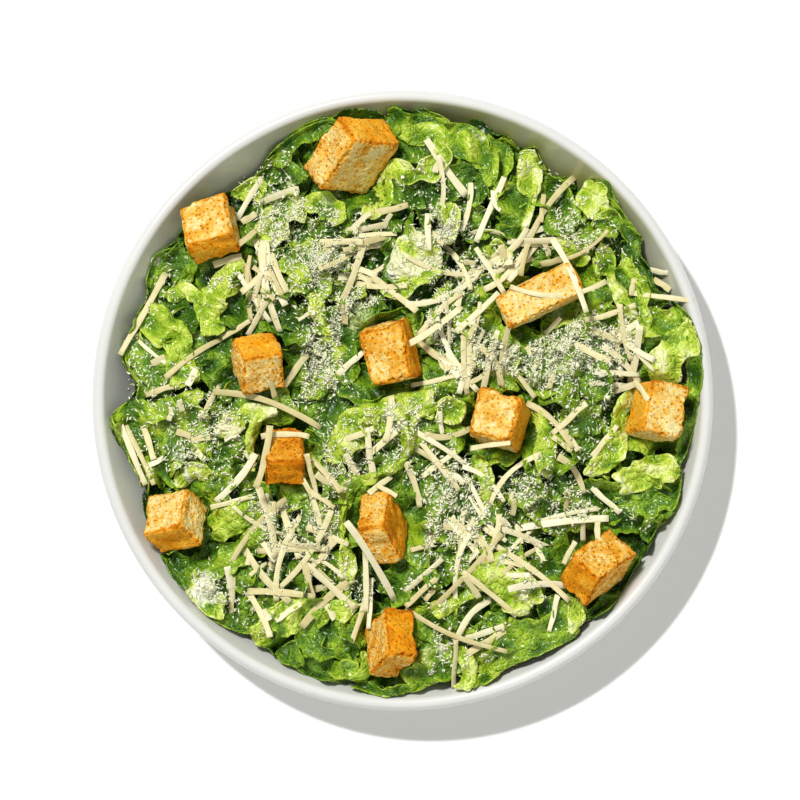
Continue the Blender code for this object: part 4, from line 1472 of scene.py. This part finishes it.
def loose_shred(dice):
    """A shred dropped by chance, mostly in a pile, where all lie much the same way. Three in ten are short
    chips."""
    while True:
        anywhere = Pile(0, 0, 50, 0, 180)
        pile = PILES[dice.integers(len(PILES))] if dice.uniform() < 0.6 else anywhere
        east, north = pile.east + dice.normal(0, pile.spread), pile.north + dice.normal(0, pile.spread)
        if math.hypot(east, north) < LOOSE_REACH and read_heights(crouton_near, east, north) < 0:
            break
    length = dice.uniform(3.5, 8) if dice.uniform() < 0.3 else dice.uniform(10, 27)
    heading = math.radians(dice.normal(pile.heading, pile.turn))
    run, rise = length / 2 * math.cos(heading), length / 2 * math.sin(heading)
    bow, width = dice.normal(0, 0.06) * length, dice.uniform(1.7, 2.7)
    return Shred(east - run, north - rise, east + run, north + rise, bow, width)


# %% Lay the shreds
crouton_near = soften(crouton_high + 1, 4.0) - 4  # over 0 on a crouton and close to it
write_heights(support, np.stack([map_x, map_y, np.where(crouton_high > 0, crouton_high, 0)], -1))
shred_parts = []
for number in range(LOOSE_SHREDS):
    dice = dice_for(31, number)
    shred_parts.append(shred_part(loose_shred(dice), dice))
for number, shred in enumerate(SHREDS):
    shred_parts.append(shred_part(shred, dice_for(32, number)))
print(f"{len(SHREDS)} shreds placed and {LOOSE_SHREDS} dropped")

# %% Finish of the shreds
cheese = Finish("shredded_cheese")
own_tint = cheese.math("MULTIPLY", cheese.attribute("tint"), 0.5)
tint_here = cheese.math("MULTIPLY_ADD", cheese.noise(3), 0.5, own_tint)
shredded_cheese = cheese.done(
    base_color=cheese.ramp(
        tint_here, [(0.25, (0.58, 0.50, 0.23)), (0.5, (0.72, 0.65, 0.36)), (0.75, (0.82, 0.78, 0.54))]
    ),
    roughness=0.5,
    normal=cheese.bump(cheese.noise(0.7), 0.2, 0.5),
    specular_ior_level=0.35,
)
shred_points, shred_faces, shred_values = joined(shred_parts)
shreds = new_object("cheese_shreds", shred_points, shred_faces, shredded_cheese, shred_values)
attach(shreds, "root")
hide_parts("salad")

# %% [markdown]
# ## Grated cheese
#
# The fine side of the grater gives short threads and crumbs of one to four millimetres. There are
# thousands, so each is only a spindle of six faces or a crumb of eight, stretched and turned by chance. One
# array makes them all.

# %% Strewing grated cheese
GRATED_REACH = 98.0  # how far from the axis it falls


def strewn_places(count, dice):
    """Places of grated cheese: tried at random, and kept by how thick the cheese lies there, in clumps."""
    tries = count * 14
    reach, bearing = GRATED_REACH * np.sqrt(dice.uniform(size=tries)), dice.uniform(0, 2 * np.pi, tries)
    x, y = reach * np.cos(bearing), reach * np.sin(bearing)
    spots = np.stack([x, y], -1)
    clump = 1 + 0.45 * ripples(spots, 7, dice_for(42)) + 0.3 * ripples(spots, 3, dice_for(43))
    keep = dice.uniform(0, 2.0, tries) < np.minimum(cheese_at(x, y), 1) ** 1.3 * np.clip(clump, 0, 2)
    keep &= read_heights(crouton_near, x, y) < 0
    return x[keep][:count], y[keep][:count]


def strewn_bits(corners, faces, x, y, sizes, tilt, dice):
    """Copies of a small shape: scaled by sizes (n, 3), turned by chance, tipped a little, and set down."""
    count = len(x)
    turn = dice.uniform(0, 2 * np.pi, count)
    tip, roll = dice.normal(0, tilt, count), dice.normal(0, tilt, count)
    bits = corners * (1 + dice.uniform(-0.25, 0.25, (count, len(corners), 1))) * sizes[:, None]
    for a, b, angle in ((1, 2, roll), (0, 2, tip), (0, 1, turn)):
        c, s = np.cos(angle)[:, None], np.sin(angle)[:, None]
        bits[..., a], bits[..., b] = bits[..., a] * c - bits[..., b] * s, bits[..., a] * s + bits[..., b] * c
    pile = 0.4 * np.minimum(cheese_at(x, y), 1.3) * dice.uniform(0, 1.6, count)
    seat = np.stack([x, y, read_heights(support, x, y) + 0.05 + pile], -1)[:, None]
    numbered = faces + len(corners) * np.arange(count)[:, None, None]
    return (bits + seat).reshape(-1, 3), numbered.reshape(-1, 3)


# %% Grated cheese as threads and crumbs
THREADS, CRUMBS = 9500, 5000  # the most that are made of each
SPINDLE = np.array([(1, 0, 0), (-1, 0, 0), (0.1, 1, 0), (0, -0.5, 0.87), (-0.1, -0.5, -0.87)])
SPINDLE_FACES = np.array([(0, 2, 3), (0, 3, 4), (0, 4, 2), (1, 3, 2), (1, 4, 3), (1, 2, 4)])
OCTAHEDRON = np.array([(1, 0, 0), (-1, 0, 0), (0, 1, 0), (0, -1, 0), (0, 0, 1), (0, 0, -1)], float)
OCTAHEDRON_FACES = np.array(
    [(0, 2, 4), (2, 1, 4), (1, 3, 4), (3, 0, 4), (2, 0, 5), (1, 2, 5), (3, 1, 5), (0, 3, 5)]
)
flaky = Finish("grated_cheese")
flake_colour = flaky.ramp(flaky.noise(2.5), [(0.3, (0.84, 0.85, 0.54)), (0.7, (0.92, 0.92, 0.72))])
grated_cheese = flaky.done(base_color=flake_colour, roughness=0.6)
thread_dice, crumb_dice = dice_for(41), dice_for(44)
thread_x, thread_y = strewn_places(THREADS, thread_dice)
thread_sizes = thread_dice.uniform((0.6, 0.24, 0.10), (1.9, 0.48, 0.20), (len(thread_x), 3))
threads = strewn_bits(SPINDLE, SPINDLE_FACES, thread_x, thread_y, thread_sizes, 0.2, thread_dice)
crumb_x, crumb_y = strewn_places(CRUMBS, crumb_dice)
crumb_sizes = crumb_dice.lognormal(-1.0, 0.4, (len(crumb_x), 1))
crumb_sizes = crumb_sizes * crumb_dice.uniform(0.6, 1.4, (len(crumb_x), 3)) * [1, 1, 0.35]
crumbs = strewn_bits(OCTAHEDRON, OCTAHEDRON_FACES, crumb_x, crumb_y, crumb_sizes, 0.25, crumb_dice)
for name, (points, faces) in {"cheese_threads": threads, "cheese_crumbs": crumbs}.items():
    piece = new_object(name, points, faces, grated_cheese)
    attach(piece, "root")
    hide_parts("salad")
print(f"{len(thread_x)} threads and {len(crumb_x)} crumbs of grated cheese")

# %% [markdown]
# ## Studio
#
# The bowl stands on a plain white floor under a straight overhead camera. The main light is a sun from the
# upper left. An even, slightly warm sky fills the shadows, and a weak broad sun from the lower right
# brightens the sides that face away from the main light. The floor has a sun of its own, higher and
# sharper, so that the bowl's shadow stays narrow and clear.

# %% Floor and sky
FLOOR_SIZE = 4000.0
FLOOR_GLOW = 0.155
SKY_STRENGTH = 0.33
floor_finish = Finish("plain_floor")
plain_floor = floor_finish.done(
    base_color=(0.9, 0.9, 0.9), roughness=0.9, emission_color=(1.0, 1.0, 1.0), emission_strength=FLOOR_GLOW
)
floor_points = np.array([(-1, -1, 0), (1, -1, 0), (1, 1, 0), (-1, 1, 0)], float) * FLOOR_SIZE / 2
floor = new_object("studio_floor", floor_points, np.array([[0, 1, 2, 3]]), plain_floor)

world = bpy.data.worlds.new("studio_sky")
world.use_nodes = True
world.node_tree.nodes["Background"].inputs["Color"].default_value = (1, 0.99, 0.9, 1)
world.node_tree.nodes["Background"].inputs["Strength"].default_value = SKY_STRENGTH
bpy.context.scene.world = world


# %% Lights
def sun(name, bearing, elevation, strength, spread):
    """A sun that shines from a bearing, counted from +X towards +Y, and an elevation, all in degrees."""
    lamp = bpy.data.lights.new(name, "SUN")
    lamp.energy = strength
    lamp.angle = math.radians(spread)
    piece = bpy.data.objects.new(name, lamp)
    piece.rotation_euler = (0, math.radians(90 - elevation), math.radians(bearing))
    bpy.context.scene.collection.objects.link(piece)
    return piece


def lit_only(lamp, others, state):
    """Makes a lamp light only some pieces, where state is INCLUDE, or all the others, where it is
    EXCLUDE."""
    group = bpy.data.collections.new(lamp.name + "_group")
    for piece in others:
        group.objects.link(piece)
    for entry in group.collection_objects:
        entry.light_linking.link_state = state
    lamp.light_linking.receiver_collection = group


key_light = sun("key_light", 121, 59, 3.3, 10)
lit_only(key_light, [floor], "EXCLUDE")
fill_light = sun("fill_light", 310, 42, 0.6, 80)
lit_only(fill_light, [floor], "EXCLUDE")
floor_light = sun("floor_light", 129, 76, 2.6, 1.5)
lit_only(floor_light, [floor], "INCLUDE")

# %% Camera
CAMERA_HEIGHT = 5000.0
VIEW_WIDTH = 283.4  # what the camera sees across at the height of the bowl's lip
camera_data = bpy.data.cameras.new("camera")
camera_data.sensor_width = 36
camera_data.lens = 36 * (CAMERA_HEIGHT - BOWL_HEIGHT) / VIEW_WIDTH
camera_data.clip_end = 100
camera = bpy.data.objects.new("camera", camera_data)
camera.location = (-0.9 * MM, 0.0, CAMERA_HEIGHT * MM)
bpy.context.scene.collection.objects.link(camera)
bpy.context.scene.camera = camera
bpy.context.scene.view_settings.view_transform = "Standard"
print(f"camera {CAMERA_HEIGHT / 1000:.0f} m up, with a lens of {camera_data.lens:.0f} mm")
